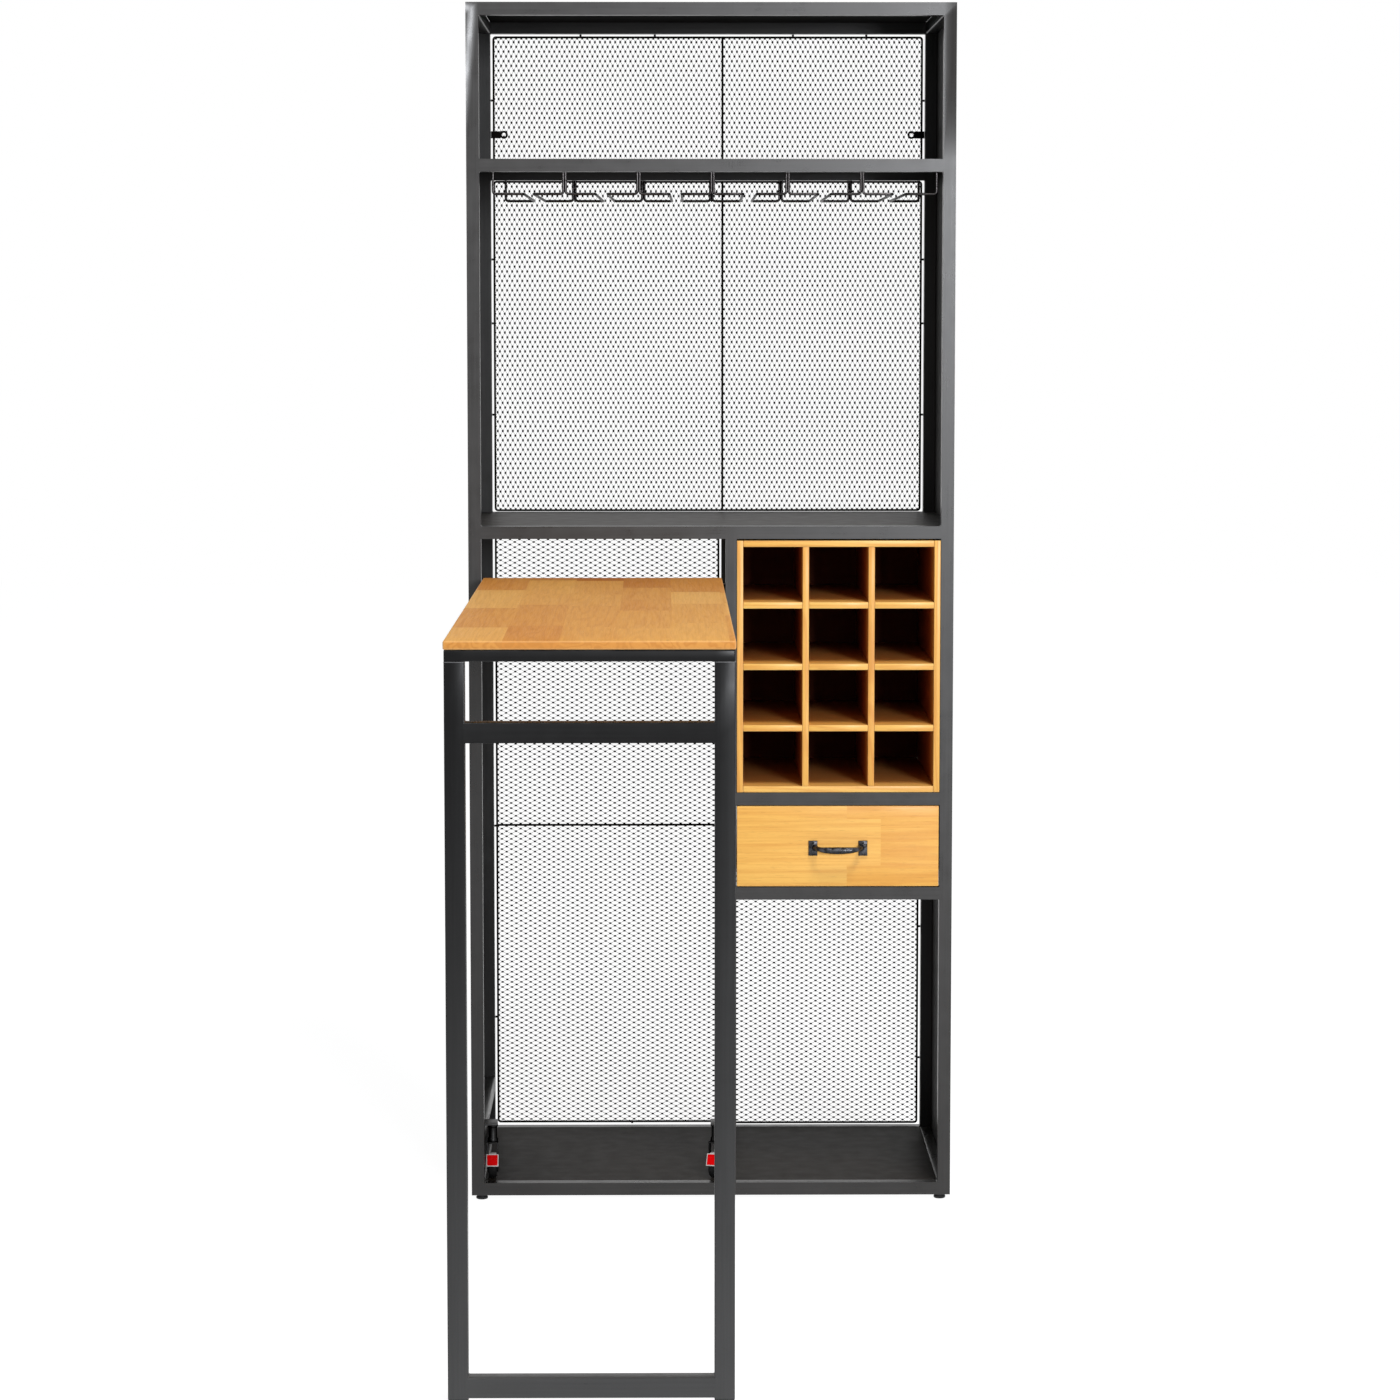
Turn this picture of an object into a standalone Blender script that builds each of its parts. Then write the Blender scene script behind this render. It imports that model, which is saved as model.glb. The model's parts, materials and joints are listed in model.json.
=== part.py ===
"""Wine cabinet of square steel tube with a roll-out bar table, modelled in Blender.

Metres, +Z up, floor at z = 0. X runs across the front, Y from the front to the back.
The cabinet stands behind, the table reaches out of its left bay towards -Y.
"""

import math

import bmesh
import bpy
from mathutils import Matrix, Vector

# Sheet, clearances and small common sizes
GAP = 0.0003
OVERRUN = 0.002
SHEET = 0.0012
TUBE = 0.019

# Cabinet
CABINET_WIDTH = 0.730
CABINET_HEIGHT = 1.800
CABINET_DEPTH = 0.442
FOOT_HEIGHT = 0.008
FOOT_RADIUS = 0.009
FOOT_INSET = 0.015
UPPER_SHELF_SHARE = 0.87178
MID_SHELF_SHARE = 0.56750
RACK_RAIL_SHARE = 0.34350
DRAWER_RAIL_SHARE = 0.26333
CENTER_POST_SHARE = 0.03945
GUIDE_BOTTOM = 0.0855
GUIDE_HEIGHT = 0.0255

# Expanded-metal back
MESH_EDGE = 0.0035
MESH_SHEET = 0.0016
MESH_STRAND = 0.006
MESH_SETBACK = 0.0030
MESH_FROM_BACK = 0.0030
MESH_BOTTOM_LIFT = 0.0035
MESH_TAB = 0.005
UPPER_CELLS = (8, 5)
LOWER_LEFT_CELLS = (3, 9)
LOWER_RIGHT_CELLS = (3, 9)
CROSS_WIRE_SHARE = 0.5035
UPPER_WIRE_OFFSET = 0.0054
LUG_OVER_SHELF = 0.0534
LUG_REACH = 0.026
LUG_HEIGHT = 0.013
LUG_HOLE = 0.0028

# Wine rack
RACK_SIDE_CLEARANCE = 0.0005
RACK_TOP_CLEARANCE = 0.0027
RACK_BACK_SPACE = 0.0462
RACK_SETBACK = 0.0008
RACK_BOARD = 0.0094
RACK_BACK = 0.006
RACK_COLUMNS = 3
RACK_ROWS = 4

# Drawer
DRAWER_FRONT_GAP = 0.0012
DRAWER_FRONT_THICKNESS = 0.018
DRAWER_SIDE = 0.012
DRAWER_BOTTOM = 0.006
DRAWER_SIDE_HEIGHT = 0.088
DRAWER_SIDE_RISE = 0.010
DRAWER_BOX_DEPTH = 0.360
RUNNER_WIDTH = 0.0105
RUNNER_HEIGHT = 0.025
RUNNER_RISE = 0.024
HANDLE_SPAN = 0.0757
HANDLE_PLATE_WIDTH = 0.0140
HANDLE_PLATE_HEIGHT = 0.0230
HANDLE_PLATE_THICKNESS = 0.0030
HANDLE_BAR_RADIUS = 0.0038
HANDLE_REACH = 0.024
HANDLE_UNDER_MIDDLE = 0.0028
HANDLE_BEND = 0.010

# Stemware rack of bent wire
WIRE_RADIUS = 0.0018
WIRE_BEND = 0.006
WIRE_DROP = 0.0346
WIRE_PITCH_SHARE = 0.15968
WIRE_ARM_SHARE = 0.4190
WIRE_OFFSET_X = 0.0056
WIRE_HANGERS = 7
WIRE_PAIR_CLOSENESS = 0.0030
WIRE_SIDES = 8

# Roll-out table
TABLE_SIDE_CLEARANCE = 0.00405
TABLE_UNDER_SHELF = 0.0775
TABLE_REACH = 1.148
TABLE_TOP_THICKNESS = 0.0107
TABLE_TOP_REAR = 0.002
TABLE_TOP_OVERHANG = 0.001
TABLE_TUBE = 0.0254
TABLE_TOP_RAIL = 0.0145
TABLE_MID_RAIL_UNDER_TOP = 0.1005
TABLE_CAP_HEIGHT = 0.0038
TABLE_CAP_INSET = 0.0002
TABLE_LOW_RAIL_RISE = 0.0022
REAR_LEG = 0.016
REAR_LEG_BEHIND_POST = 0.00915
REAR_LEG_CLEARANCE = 0.0005
LEG_PLATE = 0.003
LEG_PLATE_LIFT = 0.001

# Casters
CASTER_SIDE_SPACE = 0.0114
CASTER_SETBACK = 0.0485
CASTER_STEM_RADIUS = 0.0080
CASTER_TRAIL = 0.008
WHEEL_RADIUS = 0.0156
WHEEL_WIDTH = 0.0125
FORK_WIDTH = 0.017
FORK_CHEEK = 0.0017
FORK_CHEEK_LENGTH = 0.013
FORK_YOKE = 0.003
FORK_YOKE_FRONT = 0.014
FORK_YOKE_BACK = 0.009
YOKE_UNDER_GUIDE = 0.0025
AXLE_RADIUS = 0.003
AXLE_COVER = 0.006
PIVOT_RADIUS = 0.0018
PIVOT_FORWARD = 0.0095
PIVOT_OVER_WHEEL = 0.0045
PEDAL_WIDTH = 0.019
PEDAL_LENGTH = 0.0195
PEDAL_THICKNESS = 0.003
PEDAL_ARM_WIDTH = 0.012
PEDAL_ARM_HEIGHT = 0.0060
PEDAL_REACH = 0.0070
PEDAL_SLOPE = math.radians(64)
RIGHT_CASTER_TURN = math.radians(-15)
ROUND_SIDES = 24

# Places worked out from the sizes above
FRONT = (TABLE_REACH - CABINET_DEPTH) / 2
BACK = FRONT + CABINET_DEPTH
LEFT = -CABINET_WIDTH / 2
RIGHT = CABINET_WIDTH / 2
INNER_LEFT = LEFT + TUBE
INNER_RIGHT = RIGHT - TUBE
BOTTOM = FOOT_HEIGHT
TOP = FOOT_HEIGHT + CABINET_HEIGHT
FLOOR_TOP = BOTTOM + TUBE
UPPER_SHELF_TOP = BOTTOM + CABINET_HEIGHT * UPPER_SHELF_SHARE
MID_SHELF_TOP = BOTTOM + CABINET_HEIGHT * MID_SHELF_SHARE
RACK_RAIL_TOP = BOTTOM + CABINET_HEIGHT * RACK_RAIL_SHARE
DRAWER_RAIL_TOP = BOTTOM + CABINET_HEIGHT * DRAWER_RAIL_SHARE
CENTER_POST_X = CABINET_WIDTH * CENTER_POST_SHARE
BAY_FRONT = FRONT + TUBE + GAP
BAY_BACK = BACK - TUBE - GAP
CENTER_LEFT = CENTER_POST_X - TUBE / 2
CENTER_RIGHT = CENTER_POST_X + TUBE / 2
BAY_WIDTH = CENTER_LEFT - INNER_LEFT
UPPER_WIRE_X = CENTER_POST_X - UPPER_WIRE_OFFSET
LUG_Z = UPPER_SHELF_TOP + LUG_OVER_SHELF
RACK_HEIGHT = MID_SHELF_TOP - TUBE - RACK_TOP_CLEARANCE - RACK_RAIL_TOP - GAP
RACK_DEPTH = CABINET_DEPTH - RACK_BACK_SPACE - RACK_SETBACK
WIRE_PITCH = (INNER_RIGHT - INNER_LEFT) * WIRE_PITCH_SHARE
WIRE_ARM = WIRE_PITCH * WIRE_ARM_SHARE
TABLE_WIDTH = BAY_WIDTH - 2 * TABLE_SIDE_CLEARANCE
TABLE_HEIGHT = MID_SHELF_TOP - TABLE_UNDER_SHELF
TABLE_X = (INNER_LEFT + CENTER_LEFT) / 2
TABLE_FRONT = FRONT - TABLE_REACH
GUIDE_TOP = GUIDE_BOTTOM + GUIDE_HEIGHT
LEG_PLATE_Z = GUIDE_TOP + LEG_PLATE_LIFT
REAR_LEG_FRONT = BAY_FRONT + REAR_LEG_CLEARANCE
REAR_LEG_SPACING = BAY_WIDTH + 2 * REAR_LEG_BEHIND_POST
CASTER_SPACING = BAY_WIDTH - 2 * CASTER_SIDE_SPACE
CASTER_Y = FRONT + CASTER_SETBACK

PALETTE = {
    "frame_steel": ((0.075, 0.074, 0.072), 0.42, 0.75),
    "panel_steel": ((0.060, 0.058, 0.055), 0.45, 0.70),
    "table_steel": ((0.045, 0.045, 0.047), 0.42, 0.75),
    "mesh_black": ((0.012, 0.012, 0.013), 0.55, 0.55),
    "wood": ((0.72, 0.40, 0.14), 0.40, 0.0),
    "rack_wood": ((0.70, 0.36, 0.12), 0.45, 0.0),
    "wire_grey": ((0.10, 0.10, 0.10), 0.30, 0.90),
    "handle_iron": ((0.030, 0.028, 0.026), 0.40, 0.80),
    "runner_zinc": ((0.50, 0.51, 0.52), 0.35, 0.90),
    "caster_steel": ((0.10, 0.10, 0.10), 0.35, 0.85),
    "black_rubber": ((0.020, 0.020, 0.020), 0.75, 0.0),
    "foot_plastic": ((0.018, 0.018, 0.018), 0.55, 0.0),
    "pedal_red": ((0.70, 0.010, 0.012), 0.35, 0.0),
}


def clear_scene():
    for old in list(bpy.data.objects):
        bpy.data.objects.remove(old, do_unlink=True)


def make_material(name):
    colour, roughness, metallic = PALETTE[name]
    material = bpy.data.materials.new(name)
    material.use_nodes = True
    shader = material.node_tree.nodes["Principled BSDF"]
    shader.inputs["Base Color"].default_value = (*colour, 1)
    shader.inputs["Roughness"].default_value = roughness
    shader.inputs["Metallic"].default_value = metallic
    return material


def material(name):
    return bpy.data.materials.get(name) or make_material(name)


def add_object(name, mesh_builder, paint, location=(0, 0, 0), parent=None):
    """Finish a bmesh as a named object at a place, with its own material."""
    bmesh.ops.recalc_face_normals(mesh_builder, faces=mesh_builder.faces)
    mesh = bpy.data.meshes.new(name)
    mesh_builder.to_mesh(mesh)
    mesh_builder.free()
    mesh.materials.append(material(paint))
    thing = bpy.data.objects.new(name, mesh)
    thing.location = location
    bpy.context.scene.collection.objects.link(thing)
    if parent:
        thing.parent = parent
    return thing


def add_empty(name, location, turn=0.0, parent=None):
    empty = bpy.data.objects.new(name, None)
    empty.location = location
    empty.rotation_euler = (0, 0, turn)
    bpy.context.scene.collection.objects.link(empty)
    if parent:
        empty.parent = parent
    return empty


def smooth(thing):
    thing.data.shade_smooth()
    thing.data.set_sharp_from_angle(angle=math.radians(35))
    return thing


def bar(name, x, y, z, paint, parent=None):
    """A plain block between two ends on each axis, its origin at its own centre."""
    size = (x[1] - x[0], y[1] - y[0], z[1] - z[0])
    centre = ((x[0] + x[1]) / 2, (y[0] + y[1]) / 2, (z[0] + z[1]) / 2)
    builder = bmesh.new()
    bmesh.ops.create_cube(builder, size=1)
    bmesh.ops.scale(builder, vec=size, verts=builder.verts)
    return add_object(name, builder, paint, centre, parent)


def outline_block(plane, rectangles, low, high):
    """Rectangles in a plane, joined into one flat outline and extruded from low to high."""
    across = sorted({value for r in rectangles for value in r[:2]})
    along = sorted({value for r in rectangles for value in r[2:]})
    builder = bmesh.new()
    corners = {}

    def corner(i, j):
        if (i, j) not in corners:
            a, b = across[i], along[j]
            place = {"XZ": (a, low, b), "XY": (a, b, low), "YZ": (low, a, b)}[plane]
            corners[i, j] = builder.verts.new(place)
        return corners[i, j]

    for i in range(len(across) - 1):
        for j in range(len(along) - 1):
            a = (across[i] + across[i + 1]) / 2
            b = (along[j] + along[j + 1]) / 2
            if any(r[0] < a < r[1] and r[2] < b < r[3] for r in rectangles):
                builder.faces.new((corner(i, j), corner(i + 1, j), corner(i + 1, j + 1), corner(i, j + 1)))
    out = {"XZ": (0, high - low, 0), "XY": (0, 0, high - low), "YZ": (high - low, 0, 0)}[plane]
    grown = bmesh.ops.extrude_face_region(builder, geom=builder.faces[:])
    new_verts = [item for item in grown["geom"] if isinstance(item, bmesh.types.BMVert)]
    bmesh.ops.translate(builder, vec=out, verts=new_verts)
    return builder


def outline_object(name, plane, rectangles, low, high, paint, parent=None):
    return add_object(name, outline_block(plane, rectangles, low, high), paint, parent=parent)


def cylinder(radius, low, high, axis, centre, sides=ROUND_SIDES):
    """A closed cylinder along X, Y or Z between two stations, centred on a line."""
    builder = bmesh.new()
    bmesh.ops.create_cone(
        builder, cap_ends=True, segments=sides, radius1=radius, radius2=radius, depth=high - low
    )
    turn = {"X": Matrix.Rotation(math.pi / 2, 3, "Y"), "Y": Matrix.Rotation(math.pi / 2, 3, "X")}
    if axis in turn:
        bmesh.ops.rotate(builder, matrix=turn[axis], verts=builder.verts)
    middle = (low + high) / 2
    shift = {
        "X": (middle, centre[0], centre[1]),
        "Y": (centre[0], middle, centre[1]),
        "Z": (centre[0], centre[1], middle),
    }[axis]
    bmesh.ops.translate(builder, vec=shift, verts=builder.verts)
    return builder


def combine(thing, builder, operation):
    """Add to or cut a finished object with a hidden helper, by an exact Boolean."""
    count = len(thing.modifiers)
    helper = add_object(f"{thing.name}_tool_{count}", builder, "frame_steel", thing.location, thing.parent)
    helper.hide_render = True
    helper.display_type = "WIRE"
    step = thing.modifiers.new(f"{operation.lower()}_{count}", "BOOLEAN")
    step.operation = operation
    step.object = helper
    return thing


def rounded_path(points, radius, steps=3):
    """The corners of a path replaced by short arcs of a given radius."""
    path = [points[0]]
    for before, at, after in zip(points, points[1:], points[2:]):
        into = (at - before).normalized()
        out = (after - at).normalized()
        half = into.angle(out) / 2
        back = radius * math.tan(half)
        start = at - into * back
        centre = start + (out - into * into.dot(out)).normalized() * radius
        for k in range(steps + 1):
            turn = Matrix.Rotation(2 * half * k / steps, 3, into.cross(out).normalized())
            path.append(centre + turn @ (start - centre))
    path.append(points[-1])
    return path


def rod(path, radius, sides):
    """A closed round rod along a path, its rings turned from one leg to the next without twist."""
    builder = bmesh.new()
    headings = [(b - a).normalized() for a, b in zip(path, path[1:])]
    side = headings[0].orthogonal().normalized()
    rings = []
    for k, point in enumerate(path):
        before = headings[max(k - 1, 0)]
        after = headings[min(k, len(headings) - 1)]
        normal = (before + after).normalized()
        if k:
            side = before.rotation_difference(after) @ side if k < len(headings) else side
        stretch = 1 / max(normal.dot(before), 0.5)
        flat = (side - normal * side.dot(normal)).normalized()
        other = normal.cross(flat)
        bend = before.cross(after)
        ring = []
        for j in range(sides):
            angle = 2 * math.pi * (j + 0.5) / sides
            offset = flat * math.cos(angle) + other * math.sin(angle)
            if bend.length > 1e-6:
                inward = normal.cross(bend).normalized()
                offset += inward * offset.dot(inward) * (stretch - 1)
            ring.append(builder.verts.new(point + offset * radius))
        rings.append(ring)
    for first, second in zip(rings, rings[1:]):
        for j in range(sides):
            n = (j + 1) % sides
            builder.faces.new((first[j], first[n], second[n], second[j]))
    builder.faces.new(rings[0][::-1])
    builder.faces.new(rings[-1])
    return builder


def ladder(posts_x, levels, right_levels, low_y, high_y, name):
    """A flat welded ladder of tube: two outer posts, a centre post, full and right-hand rails."""
    rectangles = [(x, x + TUBE, BOTTOM, TOP) for x in posts_x]
    rectangles += [(LEFT, RIGHT, top - TUBE, top) for top in levels]
    rectangles.append((CENTER_LEFT, CENTER_RIGHT, BOTTOM, MID_SHELF_TOP - TUBE))
    rectangles += [(CENTER_LEFT, RIGHT, top - TUBE, top) for top in right_levels]
    return outline_object(name, "XZ", rectangles, low_y, high_y, "frame_steel")


def make_cabinet_frame():
    posts = (LEFT, INNER_RIGHT)
    levels = (TOP, UPPER_SHELF_TOP, MID_SHELF_TOP, FLOOR_TOP)
    right_levels = (RACK_RAIL_TOP, DRAWER_RAIL_TOP)
    ladder(posts, levels, right_levels, FRONT, FRONT + TUBE, "front_frame")
    ladder(posts, levels, right_levels, BACK - TUBE, BACK, "rear_frame")
    wall = SHEET + GAP
    for label, top in (("top", TOP), ("floor", FLOOR_TOP)):
        z = (top - TUBE, top)
        bar(f"{label}_side_rail_left", (LEFT + wall, INNER_LEFT), (BAY_FRONT, BAY_BACK), z, "frame_steel")
        bar(f"{label}_side_rail_right", (INNER_RIGHT, RIGHT - wall), (BAY_FRONT, BAY_BACK), z, "frame_steel")
    guide_z = (GUIDE_BOTTOM, GUIDE_TOP)
    bar("bay_guide_rail", (LEFT + wall, INNER_LEFT), (BAY_FRONT, BAY_BACK), guide_z, "frame_steel")
    for side, x in (("left", (LEFT, LEFT + SHEET)), ("right", (RIGHT - SHEET, RIGHT))):
        bar(f"side_panel_{side}", x, (BAY_FRONT, BAY_BACK), (BOTTOM, TOP), "panel_steel")


def make_decks():
    inside = (INNER_LEFT + GAP, INNER_RIGHT - GAP)
    wide = (LEFT + SHEET + GAP, RIGHT - SHEET - GAP)
    depth = (BAY_FRONT, BAY_BACK)
    bar("top_deck", inside, depth, (TOP - SHEET, TOP), "panel_steel")
    bar("upper_shelf_deck", wide, depth, (UPPER_SHELF_TOP - SHEET, UPPER_SHELF_TOP), "panel_steel")
    bar("mid_shelf_deck", wide, depth, (MID_SHELF_TOP - SHEET, MID_SHELF_TOP), "panel_steel")
    bar("floor_deck", inside, depth, (FLOOR_TOP - SHEET, FLOOR_TOP), "panel_steel")
    right = (CENTER_RIGHT + GAP, wide[1])
    bar("rack_deck", right, depth, (RACK_RAIL_TOP - SHEET, RACK_RAIL_TOP), "panel_steel")


def make_feet():
    places = {
        "front_left": (LEFT + FOOT_INSET, FRONT + FOOT_INSET),
        "front_right": (RIGHT - FOOT_INSET, FRONT + FOOT_INSET),
        "rear_left": (LEFT + FOOT_INSET, BACK - FOOT_INSET),
        "rear_right": (RIGHT - FOOT_INSET, BACK - FOOT_INSET),
    }
    for label, place in places.items():
        foot = cylinder(FOOT_RADIUS, 0, FOOT_HEIGHT - GAP, "Z", place, sides=16)
        smooth(add_object(f"foot_{label}", foot, "foot_plastic"))


def mesh_panel(name, x, z, cells, cross=None, upright=None, lugs=False):
    """A wire frame with tabs to the tubes round a sheet of slit and stretched diamonds."""
    back = BACK - MESH_FROM_BACK
    front = back - MESH_EDGE
    middle = (front + back) / 2
    columns, rows = cells
    pitch_x = (x[1] - x[0]) / columns
    pitch_z = (z[1] - z[0]) / rows
    sheet = outline_block(
        "XZ",
        [(x[0] + OVERRUN, x[1] - OVERRUN, z[0] + OVERRUN, z[1] - OVERRUN)],
        middle - MESH_SHEET / 2,
        middle + MESH_SHEET / 2,
    )
    panel = add_object(name, sheet, "mesh_black")
    cutter = bmesh.new()
    shorten = MESH_STRAND / 2 * math.hypot(1 / pitch_x, 1 / pitch_z) * 2
    half_x = pitch_x / 2 * (1 - shorten)
    half_z = pitch_z / 2 * (1 - shorten)
    for i in range(2 * columns + 1):
        for j in range(2 * rows + 1):
            if (i + j) % 2:
                cx = x[0] + i * pitch_x / 2
                cz = z[0] + j * pitch_z / 2
                rim = ((cx - half_x, cz), (cx, cz - half_z), (cx + half_x, cz), (cx, cz + half_z))
                near = [cutter.verts.new((a, front - OVERRUN, b)) for a, b in rim]
                face = cutter.faces.new(near)
                grown = bmesh.ops.extrude_face_region(cutter, geom=[face])
                far = [item for item in grown["geom"] if isinstance(item, bmesh.types.BMVert)]
                bmesh.ops.translate(cutter, vec=(0, MESH_EDGE + 2 * OVERRUN, 0), verts=far)
    combine(panel, cutter, "DIFFERENCE")
    edge = [
        (x[0], x[1], z[0], z[0] + MESH_EDGE),
        (x[0], x[1], z[1] - MESH_EDGE, z[1]),
        (x[0], x[0] + MESH_EDGE, z[0], z[1]),
        (x[1] - MESH_EDGE, x[1], z[0], z[1]),
    ]
    reach = MESH_SETBACK - GAP
    centre_x = (x[0] + x[1]) / 2
    for share in (1 / 6, 1 / 3, 2 / 3, 5 / 6):
        tab = x[0] + share * (x[1] - x[0])
        edge.append((tab, tab + MESH_TAB, z[1] - MESH_EDGE, z[1] + reach))
        level = z[0] + share * (z[1] - z[0])
        edge.append((x[0] - reach, x[0] + MESH_EDGE, level, level + MESH_TAB))
        edge.append((x[1] - MESH_EDGE, x[1] + reach, level, level + MESH_TAB))
    if cross is not None:
        level = z[0] + cross * (z[1] - z[0])
        edge.append((x[0], x[1], level, level + MESH_EDGE))
    if upright is not None:
        edge.append((upright, upright + MESH_EDGE, z[0], z[1]))
    if lugs:
        low, high = LUG_Z - LUG_HEIGHT / 2, LUG_Z + LUG_HEIGHT / 2
        edge.append((x[0] - reach, x[0] - reach + LUG_REACH, low, high))
        edge.append((x[1] + reach - LUG_REACH, x[1] + reach, low, high))
    combine(panel, outline_block("XZ", edge, front, back), "UNION")
    if lugs:
        for hole_x in (x[0] - reach + LUG_REACH - LUG_HEIGHT / 2, x[1] + reach - LUG_REACH + LUG_HEIGHT / 2):
            hole = cylinder(LUG_HOLE, front - OVERRUN, back + OVERRUN, "Y", (hole_x, LUG_Z), sides=10)
            combine(panel, hole, "DIFFERENCE")
    return panel


def make_mesh_back():
    bottom = FLOOR_TOP + MESH_BOTTOM_LIFT
    top = TOP - TUBE - MESH_SETBACK
    under_shelf = MID_SHELF_TOP - TUBE - MESH_SETBACK
    over_shelf = MID_SHELF_TOP + MESH_BOTTOM_LIFT
    side = INNER_LEFT + MESH_SETBACK, INNER_RIGHT - MESH_SETBACK
    upper_shelf = UPPER_SHELF_TOP - TUBE - MESH_SETBACK, UPPER_SHELF_TOP + MESH_BOTTOM_LIFT
    mesh_panel("mesh_middle", side, (over_shelf, upper_shelf[0]), UPPER_CELLS, upright=UPPER_WIRE_X)
    top_cells = (UPPER_CELLS[0], max(1, UPPER_CELLS[1] // 2))
    mesh_panel("mesh_top", side, (upper_shelf[1], top), top_cells, upright=UPPER_WIRE_X, lugs=True)
    left_bay = side[0], CENTER_LEFT - MESH_SETBACK
    mesh_panel("mesh_lower_left", left_bay, (bottom, under_shelf), LOWER_LEFT_CELLS, cross=CROSS_WIRE_SHARE)
    right_bay = CENTER_RIGHT + MESH_SETBACK, side[1]
    lower_right_top = DRAWER_RAIL_TOP - TUBE - MESH_SETBACK
    share = (lower_right_top - bottom) / (under_shelf - bottom)
    right_cells = (LOWER_RIGHT_CELLS[0], max(1, round(LOWER_RIGHT_CELLS[1] * share)))
    mesh_panel("mesh_lower_right", right_bay, (bottom, lower_right_top), right_cells)


def make_wine_rack():
    left = CENTER_RIGHT + RACK_SIDE_CLEARANCE
    right = INNER_RIGHT - RACK_SIDE_CLEARANCE
    low = RACK_RAIL_TOP + GAP
    high = low + RACK_HEIGHT
    front = FRONT + RACK_SETBACK
    back = front + RACK_DEPTH
    inner_x = (left + RACK_BOARD + GAP, right - RACK_BOARD - GAP)
    inner_z = (low + RACK_BOARD + GAP, high - RACK_BOARD - GAP)
    depth = (front, back)
    bar("rack_side_left", (left, left + RACK_BOARD), depth, (low, high), "rack_wood")
    bar("rack_side_right", (right - RACK_BOARD, right), depth, (low, high), "rack_wood")
    bar("rack_bottom", inner_x, depth, (low, low + RACK_BOARD), "rack_wood")
    bar("rack_top", inner_x, depth, (high - RACK_BOARD, high), "rack_wood")
    bar("rack_back", inner_x, (back - RACK_BACK, back), inner_z, "rack_wood")
    cell_x = (right - left - (RACK_COLUMNS + 1) * RACK_BOARD) / RACK_COLUMNS
    cell_z = (high - low - (RACK_ROWS + 1) * RACK_BOARD) / RACK_ROWS
    uprights = [left + k * (cell_x + RACK_BOARD) for k in range(1, RACK_COLUMNS)]
    levels = [low + k * (cell_z + RACK_BOARD) for k in range(1, RACK_ROWS)]
    end = back - RACK_BACK - GAP
    halfway = (front + end) / 2
    for k, x in enumerate(uprights, 1):
        stops = [inner_z[0]] + [v for z in levels for v in (z - GAP, z + RACK_BOARD + GAP)] + [inner_z[1]]
        teeth = [(halfway + GAP / 2, end, stops[i], stops[i + 1]) for i in range(0, len(stops), 2)]
        spine = (front, halfway + GAP / 2, inner_z[0], inner_z[1])
        outline_object(f"rack_upright_{k}", "YZ", [spine, *teeth], x, x + RACK_BOARD, "rack_wood")
    for k, z in enumerate(levels, 1):
        stops = [inner_x[0]] + [v for x in uprights for v in (x - GAP, x + RACK_BOARD + GAP)] + [inner_x[1]]
        teeth = [(stops[i], stops[i + 1], front, halfway + GAP) for i in range(0, len(stops), 2)]
        spine = (inner_x[0], inner_x[1], halfway + GAP, end)
        outline_object(f"rack_shelf_{k}", "XY", [spine, *teeth], z, z + RACK_BOARD, "rack_wood")


def make_drawer():
    low = DRAWER_RAIL_TOP + DRAWER_FRONT_GAP
    high = RACK_RAIL_TOP - TUBE - DRAWER_FRONT_GAP
    left = CENTER_RIGHT + DRAWER_FRONT_GAP
    right = INNER_RIGHT - DRAWER_FRONT_GAP
    front = FRONT + RACK_SETBACK
    face_back = front + DRAWER_FRONT_THICKNESS
    origin = add_empty("drawer_slide", ((left + right) / 2, front, (low + high) / 2))
    shift = -origin.location

    def panel(name, x, y, z, paint):
        place = [(a + shift[i], b + shift[i]) for i, (a, b) in enumerate((x, y, z))]
        return bar(name, *place, paint, origin)

    panel("drawer_front", (left, right), (front, face_back), (low, high), "wood")
    box_left = CENTER_RIGHT + 2 * GAP + RUNNER_WIDTH
    box_right = INNER_RIGHT - 2 * GAP - RUNNER_WIDTH
    box_low = low + DRAWER_SIDE_RISE
    box_z = (box_low, box_low + DRAWER_SIDE_HEIGHT)
    box_y = (face_back + GAP, face_back + GAP + DRAWER_BOX_DEPTH)
    panel("drawer_side_left", (box_left, box_left + DRAWER_SIDE), box_y, box_z, "rack_wood")
    panel("drawer_side_right", (box_right - DRAWER_SIDE, box_right), box_y, box_z, "rack_wood")
    inner_x = (box_left + DRAWER_SIDE + GAP, box_right - DRAWER_SIDE - GAP)
    panel("drawer_back", inner_x, (box_y[1] - DRAWER_SIDE, box_y[1]), box_z, "rack_wood")
    bottom_y = (box_y[0], box_y[1] - DRAWER_SIDE - GAP)
    panel("drawer_bottom", inner_x, bottom_y, (box_low, box_low + DRAWER_BOTTOM), "rack_wood")
    runner_z = (low + RUNNER_RISE, low + RUNNER_RISE + RUNNER_HEIGHT)
    runner_x = (CENTER_RIGHT + GAP, CENTER_RIGHT + GAP + RUNNER_WIDTH)
    bar("drawer_runner_left", runner_x, (BAY_FRONT, BAY_BACK), runner_z, "runner_zinc")
    runner_x = (INNER_RIGHT - GAP - RUNNER_WIDTH, INNER_RIGHT - GAP)
    bar("drawer_runner_right", runner_x, (BAY_FRONT, BAY_BACK), runner_z, "runner_zinc")
    make_handle(origin)


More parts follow.
